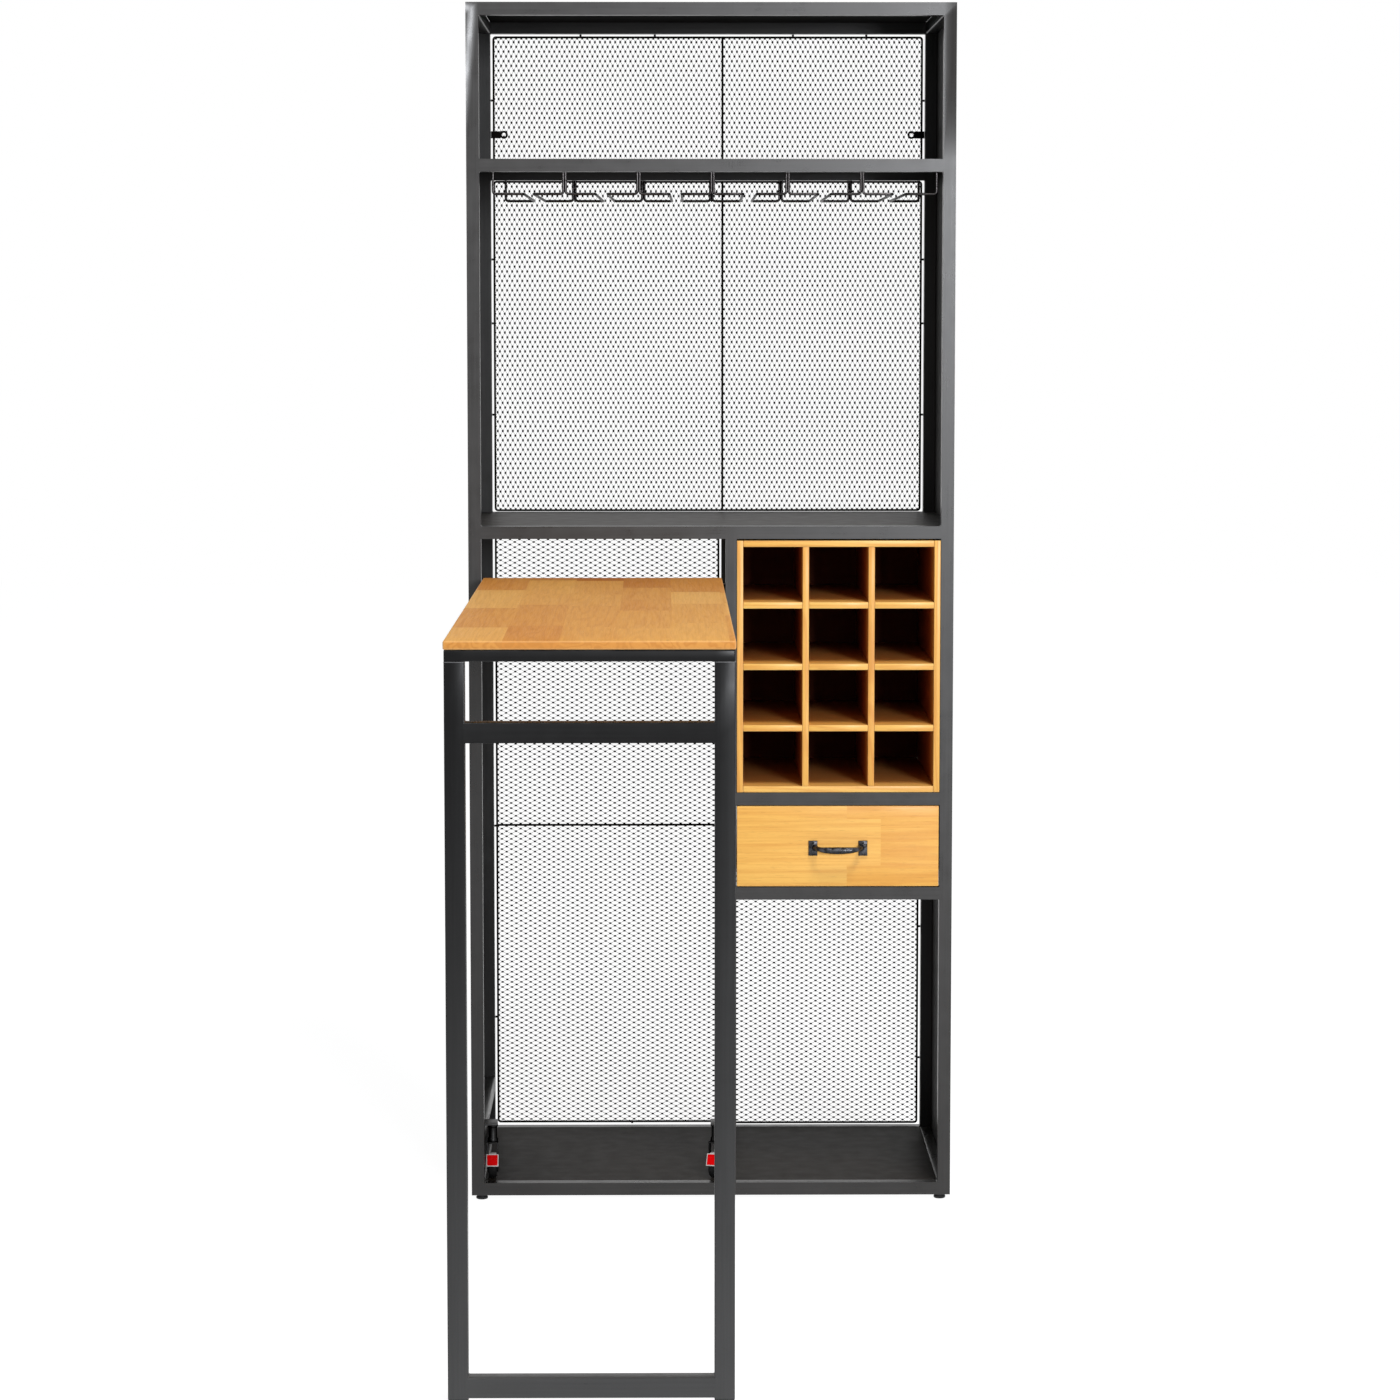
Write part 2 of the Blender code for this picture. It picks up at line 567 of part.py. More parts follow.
def make_handle(origin):
    """A cast bow on two rectangular plates, standing on the drawer front's face."""
    face = -GAP
    level = -HANDLE_UNDER_MIDDLE
    plate = []
    for x in (-HANDLE_SPAN / 2, HANDLE_SPAN / 2):
        plate.append(
            outline_block(
                "XZ",
                [(
                    x - HANDLE_PLATE_WIDTH / 2,
                    x + HANDLE_PLATE_WIDTH / 2,
                    level - HANDLE_PLATE_HEIGHT / 2,
                    level + HANDLE_PLATE_HEIGHT / 2,
                )],
                face - HANDLE_PLATE_THICKNESS,
                face,
            )
        )
    inside = face - HANDLE_PLATE_THICKNESS / 2
    out = face - HANDLE_REACH
    half = HANDLE_SPAN / 2
    corners = [
        Vector((-half, inside, level)),
        Vector((-half, out, level)),
        Vector((half, out, level)),
        Vector((half, inside, level)),
    ]
    path = rounded_path(corners, HANDLE_BEND, steps=4)
    handle = add_object("drawer_handle", rod(path, HANDLE_BAR_RADIUS, 10), "handle_iron", parent=origin)
    for block in plate:
        combine(handle, block, "UNION")
    smooth(handle)


def make_stemware_rack():
    top = UPPER_SHELF_TOP - TUBE - GAP
    low = top - WIRE_DROP + WIRE_RADIUS
    front = FRONT + TUBE / 2
    back = BACK - TUBE / 2
    first = WIRE_OFFSET_X - WIRE_PITCH * (WIRE_HANGERS - 1) / 2
    for k in range(WIRE_HANGERS):
        x = first + k * WIRE_PITCH
        sides = [s for s in (-1, 1) if not (k == 0 and s < 0) and not (k == WIRE_HANGERS - 1 and s > 0)]
        wires = []
        for side in sides:
            hang = x + side * WIRE_PAIR_CLOSENESS / 2 if len(sides) == 2 else x
            arm = x + side * WIRE_ARM
            corners = [
                Vector((hang, front, top)),
                Vector((hang, front, low)),
                Vector((arm, front, low)),
                Vector((arm, back, low)),
                Vector((hang, back, low)),
                Vector((hang, back, top)),
            ]
            wires.append(rod(rounded_path(corners, WIRE_BEND), WIRE_RADIUS, WIRE_SIDES))
        hanger = add_object(f"glass_hanger_{k + 1}", wires[0], "wire_grey")
        for other in wires[1:]:
            combine(hanger, other, "UNION")
        smooth(hanger)


def make_table():
    left = TABLE_X - TABLE_WIDTH / 2
    right = TABLE_X + TABLE_WIDTH / 2
    front = TABLE_FRONT + TABLE_TOP_OVERHANG
    top_rail = TABLE_HEIGHT - TABLE_TOP_THICKNESS - GAP
    low_rail = top_rail - TABLE_TOP_RAIL
    mid_rail = TABLE_HEIGHT - TABLE_MID_RAIL_UNDER_TOP
    slide = add_empty("table_slide", (TABLE_X, FRONT, 0))
    shift = -slide.location

    def moved(rectangle, dx, dy):
        return (rectangle[0] + dx, rectangle[1] + dx, rectangle[2] + dy, rectangle[3] + dy)

    leg_top = low_rail - GAP
    leg_end = TABLE_CAP_HEIGHT + GAP
    floor_rail = leg_end + TABLE_LOW_RAIL_RISE
    portal = [
        (left, left + TABLE_TUBE, leg_end, leg_top),
        (right - TABLE_TUBE, right, leg_end, leg_top),
        (left, right, floor_rail, floor_rail + TABLE_TUBE),
        (left, right, mid_rail - TABLE_TUBE, mid_rail),
    ]
    local = [moved(r, shift.x, 0) for r in portal]
    portal_y = (front + shift.y, front + TABLE_TUBE + shift.y)
    outline_object("table_front_frame", "XZ", local, *portal_y, "table_steel", slide)
    leg_out = TABLE_X - REAR_LEG_SPACING / 2 - REAR_LEG / 2
    leg_out_right = TABLE_X + REAR_LEG_SPACING / 2 + REAR_LEG / 2
    rear = (REAR_LEG_FRONT, REAR_LEG_FRONT + REAR_LEG)
    ring = [
        (left, right, front, front + TABLE_TUBE),
        (left, left + TABLE_TUBE, front, rear[1]),
        (right - TABLE_TUBE, right, front, rear[1]),
        (leg_out, leg_out_right, *rear),
    ]
    local = [moved(r, shift.x, shift.y) for r in ring]
    outline_object("table_top_frame", "XY", local, low_rail, top_rail, "table_steel", slide)
    overhang = TABLE_TOP_OVERHANG
    bar(
        "tabletop",
        (left - overhang + shift.x, right + overhang + shift.x),
        (TABLE_FRONT + shift.y, FRONT + TABLE_TOP_REAR + shift.y),
        (top_rail + GAP, TABLE_HEIGHT),
        "wood",
        slide,
    )
    for side, sign in (("left", -1), ("right", 1)):
        middle = (sign * (TABLE_WIDTH - TABLE_TUBE) / 2, front + TABLE_TUBE / 2 + shift.y)
        half = TABLE_TUBE / 2 - TABLE_CAP_INSET
        bar(
            f"table_glide_{side}",
            (middle[0] - half, middle[0] + half),
            (middle[1] - half, middle[1] + half),
            (0, TABLE_CAP_HEIGHT),
            "foot_plastic",
            slide,
        )
        make_rear_leg(side, sign, slide, rear, leg_top)
        make_caster(side, sign, slide)


def make_rear_leg(side, sign, slide, rear, leg_top):
    """A tube behind the cabinet's post, with a plate turned inwards over its caster."""
    middle = sign * REAR_LEG_SPACING / 2
    out = middle + sign * REAR_LEG / 2
    inside = sign * CASTER_SPACING / 2 - sign * CASTER_STEM_RADIUS
    tube = [(middle - REAR_LEG / 2, middle + REAR_LEG / 2, LEG_PLATE_Z, leg_top)]
    y = (rear[0] - FRONT, rear[1] - FRONT)
    leg = outline_object(f"table_rear_leg_{side}", "XZ", tube, *y, "table_steel", slide)
    plate = [(min(out, inside), max(out, inside), y[0], CASTER_Y - FRONT + CASTER_STEM_RADIUS)]
    combine(leg, outline_block("XY", plate, LEG_PLATE_Z, LEG_PLATE_Z + LEG_PLATE), "UNION")


def make_caster(side, sign, slide):
    """Swivel fork, braked wheel and foot pedal, each about its own axis."""
    turn = 0.0 if sign < 0 else RIGHT_CASTER_TURN
    place = (sign * CASTER_SPACING / 2, CASTER_Y - FRONT, 0)
    swivel = add_empty(f"caster_swivel_{side}", place, turn, slide)
    axle = (-CASTER_TRAIL, FLOOR_TOP + GAP + WHEEL_RADIUS)
    yoke_top = GUIDE_BOTTOM - YOKE_UNDER_GUIDE
    yoke_low = yoke_top - FORK_YOKE
    half = FORK_WIDTH / 2
    stem = cylinder(CASTER_STEM_RADIUS, yoke_top - OVERRUN, LEG_PLATE_Z - GAP, "Z", (0, 0), sides=20)
    fork = add_object(f"caster_fork_{side}", stem, "caster_steel", parent=swivel)
    yoke = [(-half, half, -FORK_YOKE_FRONT, FORK_YOKE_BACK)]
    combine(fork, outline_block("XY", yoke, yoke_low, yoke_top), "UNION")
    cheek_low = axle[1] - AXLE_COVER
    cheek = [(axle[0] - FORK_CHEEK_LENGTH / 2, axle[0] + FORK_CHEEK_LENGTH / 2, cheek_low, yoke_top - GAP)]
    combine(fork, outline_block("YZ", cheek, -half, -half + FORK_CHEEK), "UNION")
    combine(fork, outline_block("YZ", cheek, half - FORK_CHEEK, half), "UNION")
    inner = half - FORK_CHEEK / 2
    combine(fork, cylinder(AXLE_RADIUS, -inner, inner, "X", axle, sides=12), "UNION")
    pivot = (-PIVOT_FORWARD, axle[1] + WHEEL_RADIUS + PIVOT_OVER_WHEEL)
    combine(fork, cylinder(PIVOT_RADIUS, -inner, inner, "X", pivot, sides=10), "UNION")
    smooth(fork)
    wheel_axis = add_empty(f"caster_axle_{side}", (0, *axle), parent=swivel)
    tread = cylinder(WHEEL_RADIUS, -WHEEL_WIDTH / 2, WHEEL_WIDTH / 2, "X", (0, 0))
    wheel = add_object(f"caster_wheel_{side}", tread, "black_rubber", parent=wheel_axis)
    bore = cylinder(AXLE_RADIUS + GAP, -WHEEL_WIDTH, WHEEL_WIDTH, "X", (0, 0), sides=12)
    smooth(combine(wheel, bore, "DIFFERENCE"))
    make_pedal(side, swivel, pivot)


def make_pedal(side, swivel, pivot):
    """A foot pedal: a flat arm on the pivot pin and a sloped red plate in front of the wheel."""
    hinge = add_empty(f"pedal_pivot_{side}", (0, *pivot), parent=swivel)
    half = PEDAL_ARM_WIDTH / 2
    arm_low, arm_high = -PEDAL_ARM_HEIGHT / 2, PEDAL_ARM_HEIGHT / 2
    behind = PIVOT_RADIUS + GAP + PEDAL_THICKNESS / 2
    arm = outline_block("YZ", [(-PEDAL_REACH, behind, arm_low, arm_high)], -half, half)
    pedal = add_object(f"brake_pedal_{side}", arm, "pedal_red", parent=hinge)
    wide = PEDAL_WIDTH / 2
    plate = outline_block("YZ", [(0, PEDAL_THICKNESS, -PEDAL_LENGTH, 0)], -wide, wide)
    bmesh.ops.rotate(plate, matrix=Matrix.Rotation(PEDAL_SLOPE - math.pi / 2, 3, "X"), verts=plate.verts)
    bmesh.ops.translate(plate, vec=(0, -PEDAL_REACH - PEDAL_THICKNESS / 2, arm_high - GAP), verts=plate.verts)
    combine(pedal, plate, "UNION")
    hole = cylinder(PIVOT_RADIUS + GAP, -PEDAL_WIDTH, PEDAL_WIDTH, "X", (0, 0), sides=10)
    combine(pedal, hole, "DIFFERENCE")


def main():
    clear_scene()
    make_cabinet_frame()
    make_decks()
    make_feet()
    make_mesh_back()
    make_wine_rack()
    make_drawer()
    make_stemware_rack()
    make_table()
    bpy.context.view_layer.update()


main()
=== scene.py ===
"""Looks of the steel wine cabinet with its roll-out table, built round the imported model."""

import json
import math
import random

import bmesh
import bpy
from mathutils import Matrix, Vector


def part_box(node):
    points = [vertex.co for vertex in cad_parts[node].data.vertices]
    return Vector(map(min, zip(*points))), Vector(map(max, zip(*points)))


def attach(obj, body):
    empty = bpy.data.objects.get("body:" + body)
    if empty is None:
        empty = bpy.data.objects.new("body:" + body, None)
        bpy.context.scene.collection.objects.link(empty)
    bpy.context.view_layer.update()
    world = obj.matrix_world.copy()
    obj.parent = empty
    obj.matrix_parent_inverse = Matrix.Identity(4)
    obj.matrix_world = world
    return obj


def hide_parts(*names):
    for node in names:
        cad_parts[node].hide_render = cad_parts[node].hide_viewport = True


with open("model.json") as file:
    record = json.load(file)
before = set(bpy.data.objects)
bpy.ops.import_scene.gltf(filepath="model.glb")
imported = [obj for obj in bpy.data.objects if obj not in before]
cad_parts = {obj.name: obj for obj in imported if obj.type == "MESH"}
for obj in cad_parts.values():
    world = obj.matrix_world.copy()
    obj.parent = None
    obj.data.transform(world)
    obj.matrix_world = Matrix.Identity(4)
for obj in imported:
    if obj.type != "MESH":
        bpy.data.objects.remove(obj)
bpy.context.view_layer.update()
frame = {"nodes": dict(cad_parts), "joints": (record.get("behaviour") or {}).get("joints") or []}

X, Y, Z = range(3)

# Camera of the photograph: an image of 1400 by 1400 pixels
CAMERA_PLACE = (-0.0776, -5.7256, 1.3607)
CAMERA_PITCH = 0.0973
CAMERA_YAW = 0.0100
CAMERA_LENS = 104.10

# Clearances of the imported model: between solids, from the lower left mesh to the centre post, and
# from the rail under the drawer to the drawer's front
GAP = 0.0003
MESH_TO_POST = 0.0030
RAIL_TO_DRAWER = 0.0012

# Angles between faces from which an edge is rounded, and from which it is shaded sharp
ROUNDED_FROM = math.radians(25)
SHARP_FROM = math.radians(32)

# Widths of the rounding along edges
TUBE_EDGE = 0.0013
RAIL_EDGE = 0.0016
GUIDE_EDGE = 0.0020
PORTAL_EDGE = 0.0012
PLATE_EDGE = 0.0009
THIN_EDGE = 0.0005
BOARD_EDGE = 0.0008
NOTCHED_EDGE = 0.0006
TABLETOP_EDGE = 0.0019
DRAWER_EDGE = 0.0011

# Expanded metal of the back, and the wire round it
STRAND_WIDTH = 0.00046
SHEET_THICKNESS = 0.00090
PITCH_UPRIGHT = (0.0081, 0.0150)
PITCH_LEVEL = (0.0084, 0.0152)
KNUCKLE_UPRIGHT = (0.00155, 0.00235)
KNUCKLE_LEVEL = (0.00140, 0.00235)
LANE_EDGE_SHARE = 0.06
EDGE_WIRE = 0.00172
WIRE_CORNER = 0.004
CROSS_WIRE_OFFSET = 0.0044
CROSS_WIRE_SHARE = 0.5020
TOP_TABS = (0.207, 0.378, 0.696, 0.865)

SHELF_DECKS = ("top_deck", "upper_shelf_deck", "mid_shelf_deck", "floor_deck")

# Tones: the paler coat outside the sheets, whose inner faces are painted darker as shade; the painted shade
# inside the rack's cells and on the face of its back; and bare edges of wood
OUTSIDE_TONES = ((0.062, 0.060, 0.058), (0.098, 0.096, 0.094))
RECESS_SHADE_TONE = (0.300, 0.045, 0.010)
BACK_SHADE_TONE = (0.085, 0.008, 0.004)
RUBBED_TONE = (1.0, 0.80, 0.48)
DIM_RIM = (0.04, 0.04, 0.04, 1)
WHITE = (1, 1, 1, 1)


def box(node):
    low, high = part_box(node)
    return Vector(low), Vector(high)


def halfway(node, axis):
    """The middle of a node along one axis."""
    low, high = box(node)
    return (low[axis] + high[axis]) / 2


# Shader helpers


def add_node(tree, kind, inputs=(), **settings):
    """A new node, whose inputs are linked where a socket is given and set where a value is."""
    made = tree.nodes.new(kind)
    for key, value in settings.items():
        setattr(made, key, value)
    for key, value in dict(inputs).items():
        if isinstance(value, bpy.types.NodeSocket):
            tree.links.new(value, made.inputs[key])
        else:
            made.inputs[key].default_value = value
    return made


def shade(colour, factor, lift=0.0):
    return tuple(factor * v + lift for v in colour)


def grey(value):
    return (value,) * 3


class Shader:
    """A short way to chain nodes of one material; coordinates are the object's own, in metres."""

    def __init__(self, name):
        self.material = bpy.data.materials.new(name)
        self.material.use_nodes = True
        self.tree = self.material.node_tree
        self.surface = self.tree.nodes["Principled BSDF"]
        self.place = self.add("ShaderNodeTexCoord").outputs["Object"]

    def add(self, kind, inputs=(), **settings):
        return add_node(self.tree, kind, inputs, **settings)

    def axis(self, index):
        return self.add("ShaderNodeSeparateXYZ", {0: self.place}).outputs[index]

    def attribute(self, name):
        return self.add("ShaderNodeAttribute", attribute_name=name).outputs["Fac"]

    def stretch(self, scale, source=None):
        """Coordinates multiplied per axis, so that a texture runs long along one of them."""
        inputs = {"Vector": source or self.place, "Scale": scale}
        return self.add("ShaderNodeMapping", inputs).outputs["Vector"]

    def noise(self, scale, detail=2.0, stretch=None, source=None, distortion=0.0, roughness=0.5):
        where = source or self.place
        if stretch:
            where = self.stretch(stretch, where)
        inputs = {"Vector": where, "Scale": scale, "Detail": detail, "Distortion": distortion,
                  "Roughness": roughness}
        return self.add("ShaderNodeTexNoise", inputs).outputs["Fac"]

    def math(self, operation, first, second=0.0, clamp=False):
        made = self.add("ShaderNodeMath", {0: first, 1: second}, operation=operation)
        made.use_clamp = clamp
        return made.outputs[0]

    def times(self, first, second):
        return self.math("MULTIPLY", first, second)

    def remap(self, value, low, high, to_low=0.0, to_high=1.0):
        inputs = {"Value": value, "From Min": low, "From Max": high, "To Min": to_low, "To Max": to_high}
        return self.add("ShaderNodeMapRange", inputs).outputs["Result"]

    def ramp(self, value, *stops):
        made = self.add("ShaderNodeValToRGB", {"Fac": value})
        ramp = made.color_ramp
        while len(ramp.elements) < len(stops):
            ramp.elements.new(0.5)
        for element, (place, colour) in zip(ramp.elements, stops):
            element.position = place
            element.color = (*colour, 1)
        return made.outputs["Color"]

    def mix(self, factor, first, second):
        """A blend of two colours: the node has its factor at input 0 and its colours at 6 and 7."""
        colours = [v if isinstance(v, bpy.types.NodeSocket) else (*v, 1) for v in (first, second)]
        inputs = {0: factor, 6: colours[0], 7: colours[1]}
        return self.add("ShaderNodeMix", inputs, data_type="RGBA").outputs[2]

    def bump(self, height, strength, distance, normal=None):
        inputs = {"Height": height, "Strength": strength, "Distance": distance}
        if normal:
            inputs["Normal"] = normal
        return self.add("ShaderNodeBump", inputs).outputs["Normal"]

    def finish(self, colour, roughness, normal, **constants):
        """Link what varies over the surface, set what is constant, and return the material."""
        for key, value in (("Base Color", colour), ("Roughness", roughness), ("Normal", normal)):
            self.tree.links.new(value, self.surface.inputs[key])
        for key, value in constants.items():
            self.surface.inputs[key.replace("_", " ").title().replace("Ior", "IOR")].default_value = value
        return self.material


def coat(name, dark, light, roughness, specular, streaks="tube", painted_low_light=None, outer=None):
    """Powder coat on steel: cloudy tone, fine speckle, streaks along the tube, paler edges: wear and painted
    highlight.

    The low-down tone and its height make a painted sheen: the coat is painted paler below that height. outer
    is an axis and the distance along it where the outside of the cabinet begins, which takes the paler coat;
    the inside keeps the darker given tones, a painted shade.
    """
    s = Shader(name)
    cloud = s.noise(3.1, 3.0)
    speck = s.noise(1100.0, 1.0)
    level = s.noise(1.0, 3.0, stretch=(5.0, 300.0, 300.0))
    streak = level
    if streaks == "tube":
        share = s.attribute("upright")
        along = s.times(s.noise(1.0, 3.0, stretch=(300.0, 300.0, 5.0)), share)
        across = s.times(level, s.math("SUBTRACT", 1.0, share))
        streak = s.math("ADD", along, across)
    tone = s.math("ADD", s.times(cloud, 0.55), s.times(streak, 0.45))
    colour = s.ramp(tone, (0.30, dark), (0.70, light))
    # Painted light: below the given height the coat is mixed towards a paler tone, a painted sheen on the
    # lower tubes.
    if painted_low_light:
        pale, height = painted_low_light
        drop = s.math("POWER", s.remap(s.axis(Z), height, 0.0), 1.5)
        drop = s.math("MULTIPLY", drop, s.remap(tone, 0.3, 0.7, 0.85, 1.1), clamp=True)
        colour = s.mix(drop, colour, pale)
    # Painted shade: only the outside takes the paler coat tones; the inside keeps the darker given tones.
    if outer:
        axis, limit = outer
        outside = s.math("GREATER_THAN", s.math("ABSOLUTE", s.axis(axis)), limit)
        colour = s.mix(outside, colour, s.ramp(tone, (0.30, OUTSIDE_TONES[0]), (0.70, OUTSIDE_TONES[1])))
    colour = s.mix(s.remap(speck, 0.62, 0.74, 0.0, 0.16), colour, shade(light, 2.0))
    # Paler patches on the rounded edges: partly rubbed coat, partly a painted highlight.
    rubbed_and_lit_edge = s.times(s.attribute("edge"), s.remap(s.noise(55.0, 4.0), 0.42, 0.66))
    colour = s.mix(s.times(rubbed_and_lit_edge, 0.5), colour, shade(light, 3.0, 0.02))
    rough = s.math("ADD", s.remap(s.noise(38.0, 3.0), 0.3, 0.7, roughness - 0.03, roughness + 0.03),
                   s.remap(streak, 0.3, 0.7, -0.02, 0.02))
    peel = s.bump(s.noise(620.0, 2.0), 0.08, 0.0003)
    peel = s.bump(streak, 0.06, 0.0004, peel)
    return s.finish(colour, rough, peel, specular_ior_level=specular)


def timber(name, along, tones, ring=0.9, gloss=0.46, specular=0.35, clear=0.10, contrast=1.0, ends=None,
           inside=None, faced=None):
    """Varnished softwood: each stave has its own tone and its own figure, running along one axis.

    ends is the tone of the end grain, where that is darker than the faces. inside is the share of a
    painted shade that the board takes from its front edge inwards, over the first centimetres, on the
    sides that face into the rack. faced is the place along Y in front of which a board is painted dark
    all over, a painted shade on the face of the rack's back that looks into the cells.
    """
    s = Shader(name)

    def axes(value, other=1.0):
        scale = [other] * 3
        scale[along] = value
        return tuple(scale)

    stave = s.attribute("stave")
    end = s.attribute("end")
    steps = {i: s.times(stave, v) for i, v in enumerate((7.3, 4.9, 3.7))}
    jump = s.add("ShaderNodeCombineXYZ", steps).outputs[0]
    moved = s.add("ShaderNodeVectorMath", {0: s.place, 1: jump}, operation="ADD").outputs[0]
    figure = s.noise(34.0, 2.0, stretch=axes(0.055), source=moved, distortion=0.35, roughness=0.42)
    rings = s.remap(s.math("SINE", s.times(figure, 62.0 * ring)), -0.2, 1.0)
    fibre = s.noise(900.0, 3.0, stretch=axes(0.018), source=moved)
    streak = s.noise(300.0, 2.0, stretch=axes(0.02), source=moved)
    pores = s.remap(s.noise(1500.0, 1.0, stretch=axes(0.045), source=moved), 0.63, 0.74)
    broad = s.noise(11.0, 2.0, stretch=axes(0.055), source=moved)
    tone = s.math("ADD", s.times(stave, 0.70), s.times(broad, 0.30))
    colour = s.ramp(tone, *((0.08 + 0.84 * k / (len(tones) - 1), v) for k, v in enumerate(tones)))
    late = tuple(v * f for v, f in zip(tones[0], (0.84, 0.66, 0.50)))
    figured = s.times(rings, s.remap(stave, 0.0, 1.0, 0.50 * contrast, 0.12 * contrast))
    colour = s.mix(figured, colour, late)
    colour = s.mix(s.remap(fibre, 0.35, 0.7, 0.0, 0.18 * contrast), colour, late)
    colour = s.mix(s.remap(streak, 0.44, 0.70, 0.0, 0.34 * contrast), colour, late)
    colour = s.mix(s.times(pores, 0.30), colour, shade(late, 0.45))
    places = {"Vector": s.stretch(axes(1.0, 2.2), moved), "Scale": 5.5}
    knots = s.add("ShaderNodeTexVoronoi", places).outputs["Distance"]
    colour = s.mix(s.remap(knots, 0.018, 0.032, 0.5, 0.0), colour, shade(late, 0.35))
    grain = (0.72, 0.95) if ends else (0.04, 0.34)
    colour = s.mix(s.times(end, s.remap(rings, 0.0, 1.0, *grain)), colour, ends or late)
    colour = s.mix(s.times(s.attribute("edge"), 0.10), colour, RUBBED_TONE)
    # Painted shade: the face of the rack's back in front of the given place is painted near-black.
    if faced:
        shown = s.math("LESS_THAN", s.axis(Y), faced)
        colour = s.mix(s.times(shown, 0.95), colour, BACK_SHADE_TONE)
    # Painted shade: the sides that face into the rack darken from the front edge inwards, for the shade deep
    # in the cells.
    if inside:
        front = box("rack_side_left")[0].y
        bare_edge, start, full, start_share = 0.0012, 0.002, 0.090, 0.35
        cell_shade = s.remap(s.axis(Y), front + start, front + full, start_share * inside, inside)
        cell_shade = s.times(cell_shade, s.math("GREATER_THAN", s.axis(Y), front + bare_edge))
        cell_shade = s.times(cell_shade, s.math("GREATER_THAN", s.axis(X), halfway("rack_side_left", X)))
        cell_shade = s.times(cell_shade, s.math("LESS_THAN", s.axis(X), halfway("rack_side_right", X)))
        colour = s.mix(cell_shade, colour, RECESS_SHADE_TONE)
    rough = s.remap(fibre, 0.3, 0.7, gloss - 0.05, gloss + 0.10)
    height = s.math("ADD", s.times(fibre, 0.6), s.times(rings, 0.25))
    height = s.math("SUBTRACT", height, s.times(pores, 0.6))
    normal = s.bump(height, 0.18, 0.0004)
    return s.finish(colour, rough, normal, specular_ior_level=specular, coat_weight=clear,
                    coat_roughness=0.22)


def plated(name, dark, light, roughness, rim=WHITE):
    """Bare or plated metal with drawn scratches and dull patches."""
    s = Shader(name)
    patch = s.noise(70.0, 4.0)
    scratch = s.noise(1200.0, 2.0, stretch=(1.0, 0.05, 1.0))
    colour = s.mix(s.math("ADD", s.times(patch, 0.6), s.times(scratch, 0.4)), dark, light)
    rough = s.remap(patch, 0.3, 0.7, roughness - 0.08, roughness + 0.12)
    normal = s.bump(scratch, 0.12, 0.0002)
    return s.finish(colour, rough, normal, metallic=1.0, specular_tint=rim)


def moulded(name, dark, light, roughness, specular):
    """Rubber or plastic: faint marbling, dust in the low places, a fine texture."""
    s = Shader(name)
    colour = s.mix(s.noise(45.0, 4.0), dark, light)
    dust = s.remap(s.noise(160.0, 3.0), 0.56, 0.72, 0.0, 0.30)
    colour = s.mix(dust, colour, shade(light, 1.0, 0.03))
    rough = s.remap(s.noise(90.0, 2.0), 0.3, 0.7, roughness - 0.06, roughness + 0.08)
    grain = s.bump(s.noise(1040.0, 2.0), 0.2, 0.0003)
    return s.finish(colour, rough, grain, specular_ior_level=specular)


def cast_iron(name):
    """Blackened casting: hammered surface, grey rubbed through on the high places."""
    s = Shader(name)
    lumps = s.noise(210.0, 3.0, distortion=0.4)
    fine = s.noise(1100.0, 2.0)
    colour = s.ramp(s.noise(120.0, 4.0), (0.40, (0.005, 0.005, 0.006)), (0.75, (0.075, 0.078, 0.090)))
    rough = s.remap(lumps, 0.3, 0.7, 0.20, 0.42)
    normal = s.bump(lumps, 0.45, 0.0009)
    normal = s.bump(fine, 0.20, 0.0003, normal)
    return s.finish(colour, rough, normal, metallic=0.6, specular_ior_level=0.5)


MATERIALS = {}


def make_metals():
    """Coats of the tubes and sheets, and the bare metals."""
    m = MATERIALS
    m["frame"] = coat("frame_coat", (0.0070, 0.0064, 0.0060), (0.0155, 0.0142, 0.0134), 0.30, 0.42)
    # The rear frame, top side rails and guide rail take a darker, duller copy of the frame's coat, a painted
    # shade.
    m["rear"] = coat("rear_shaded_coat", (0.0055, 0.0052, 0.0050), (0.0120, 0.0115, 0.0110), 0.32, 0.25)
    m["sheet"] = coat("sheet_coat", (0.016, 0.0145, 0.013), (0.034, 0.031, 0.028), 0.46, 0.09, "level")
    # The side and top sheets are painted darker on their inner faces, a painted shade inside the cabinet.
    shaded_inside_tones = (0.006, 0.0056, 0.0052), (0.014, 0.0130, 0.0120)
    outer = X, halfway("side_panel_right", X)
    m["side"] = coat("side_coat", *shaded_inside_tones, 0.50, 0.02, "level", outer=outer)
    outer = Z, halfway("top_deck", Z)
    m["top"] = coat("top_coat", *shaded_inside_tones, 0.80, 0.01, "level", outer=outer)
    m["floor_sheet"] = coat("floor_sheet_coat", (0.0125, 0.0106, 0.0090), (0.0245, 0.0210, 0.0180),
                            0.46, 0.03, "level")
    # The table's coat is painted paler low down, a painted sheen on the lower legs and rails.
    m["table"] = coat("table_coat", (0.0025, 0.0025, 0.0027), (0.0060, 0.0060, 0.0063), 0.32, 0.12,
                      painted_low_light=(grey(0.056), 0.88))
    # The weld seams take a much paler coat than the table, a painted highlight line.
    m["seam"] = coat("seam_highlight_coat", (0.050, 0.050, 0.052), (0.110, 0.110, 0.115), 0.35, 0.40)
    m["mesh"] = coat("mesh_coat", (0.003, 0.0024, 0.002), (0.009, 0.0075, 0.0065), 0.60, 0.02, "level")
    m["wire"] = plated("wire_plating", (0.012, 0.011, 0.011), (0.060, 0.056, 0.056), 0.22, DIM_RIM)
    m["zinc"] = plated("zinc_plating", (0.36, 0.37, 0.38), (0.62, 0.63, 0.63), 0.34)
    m["caster"] = plated("caster_plating", grey(0.006), grey(0.026), 0.34, DIM_RIM)
    m["iron"] = cast_iron("handle_casting")


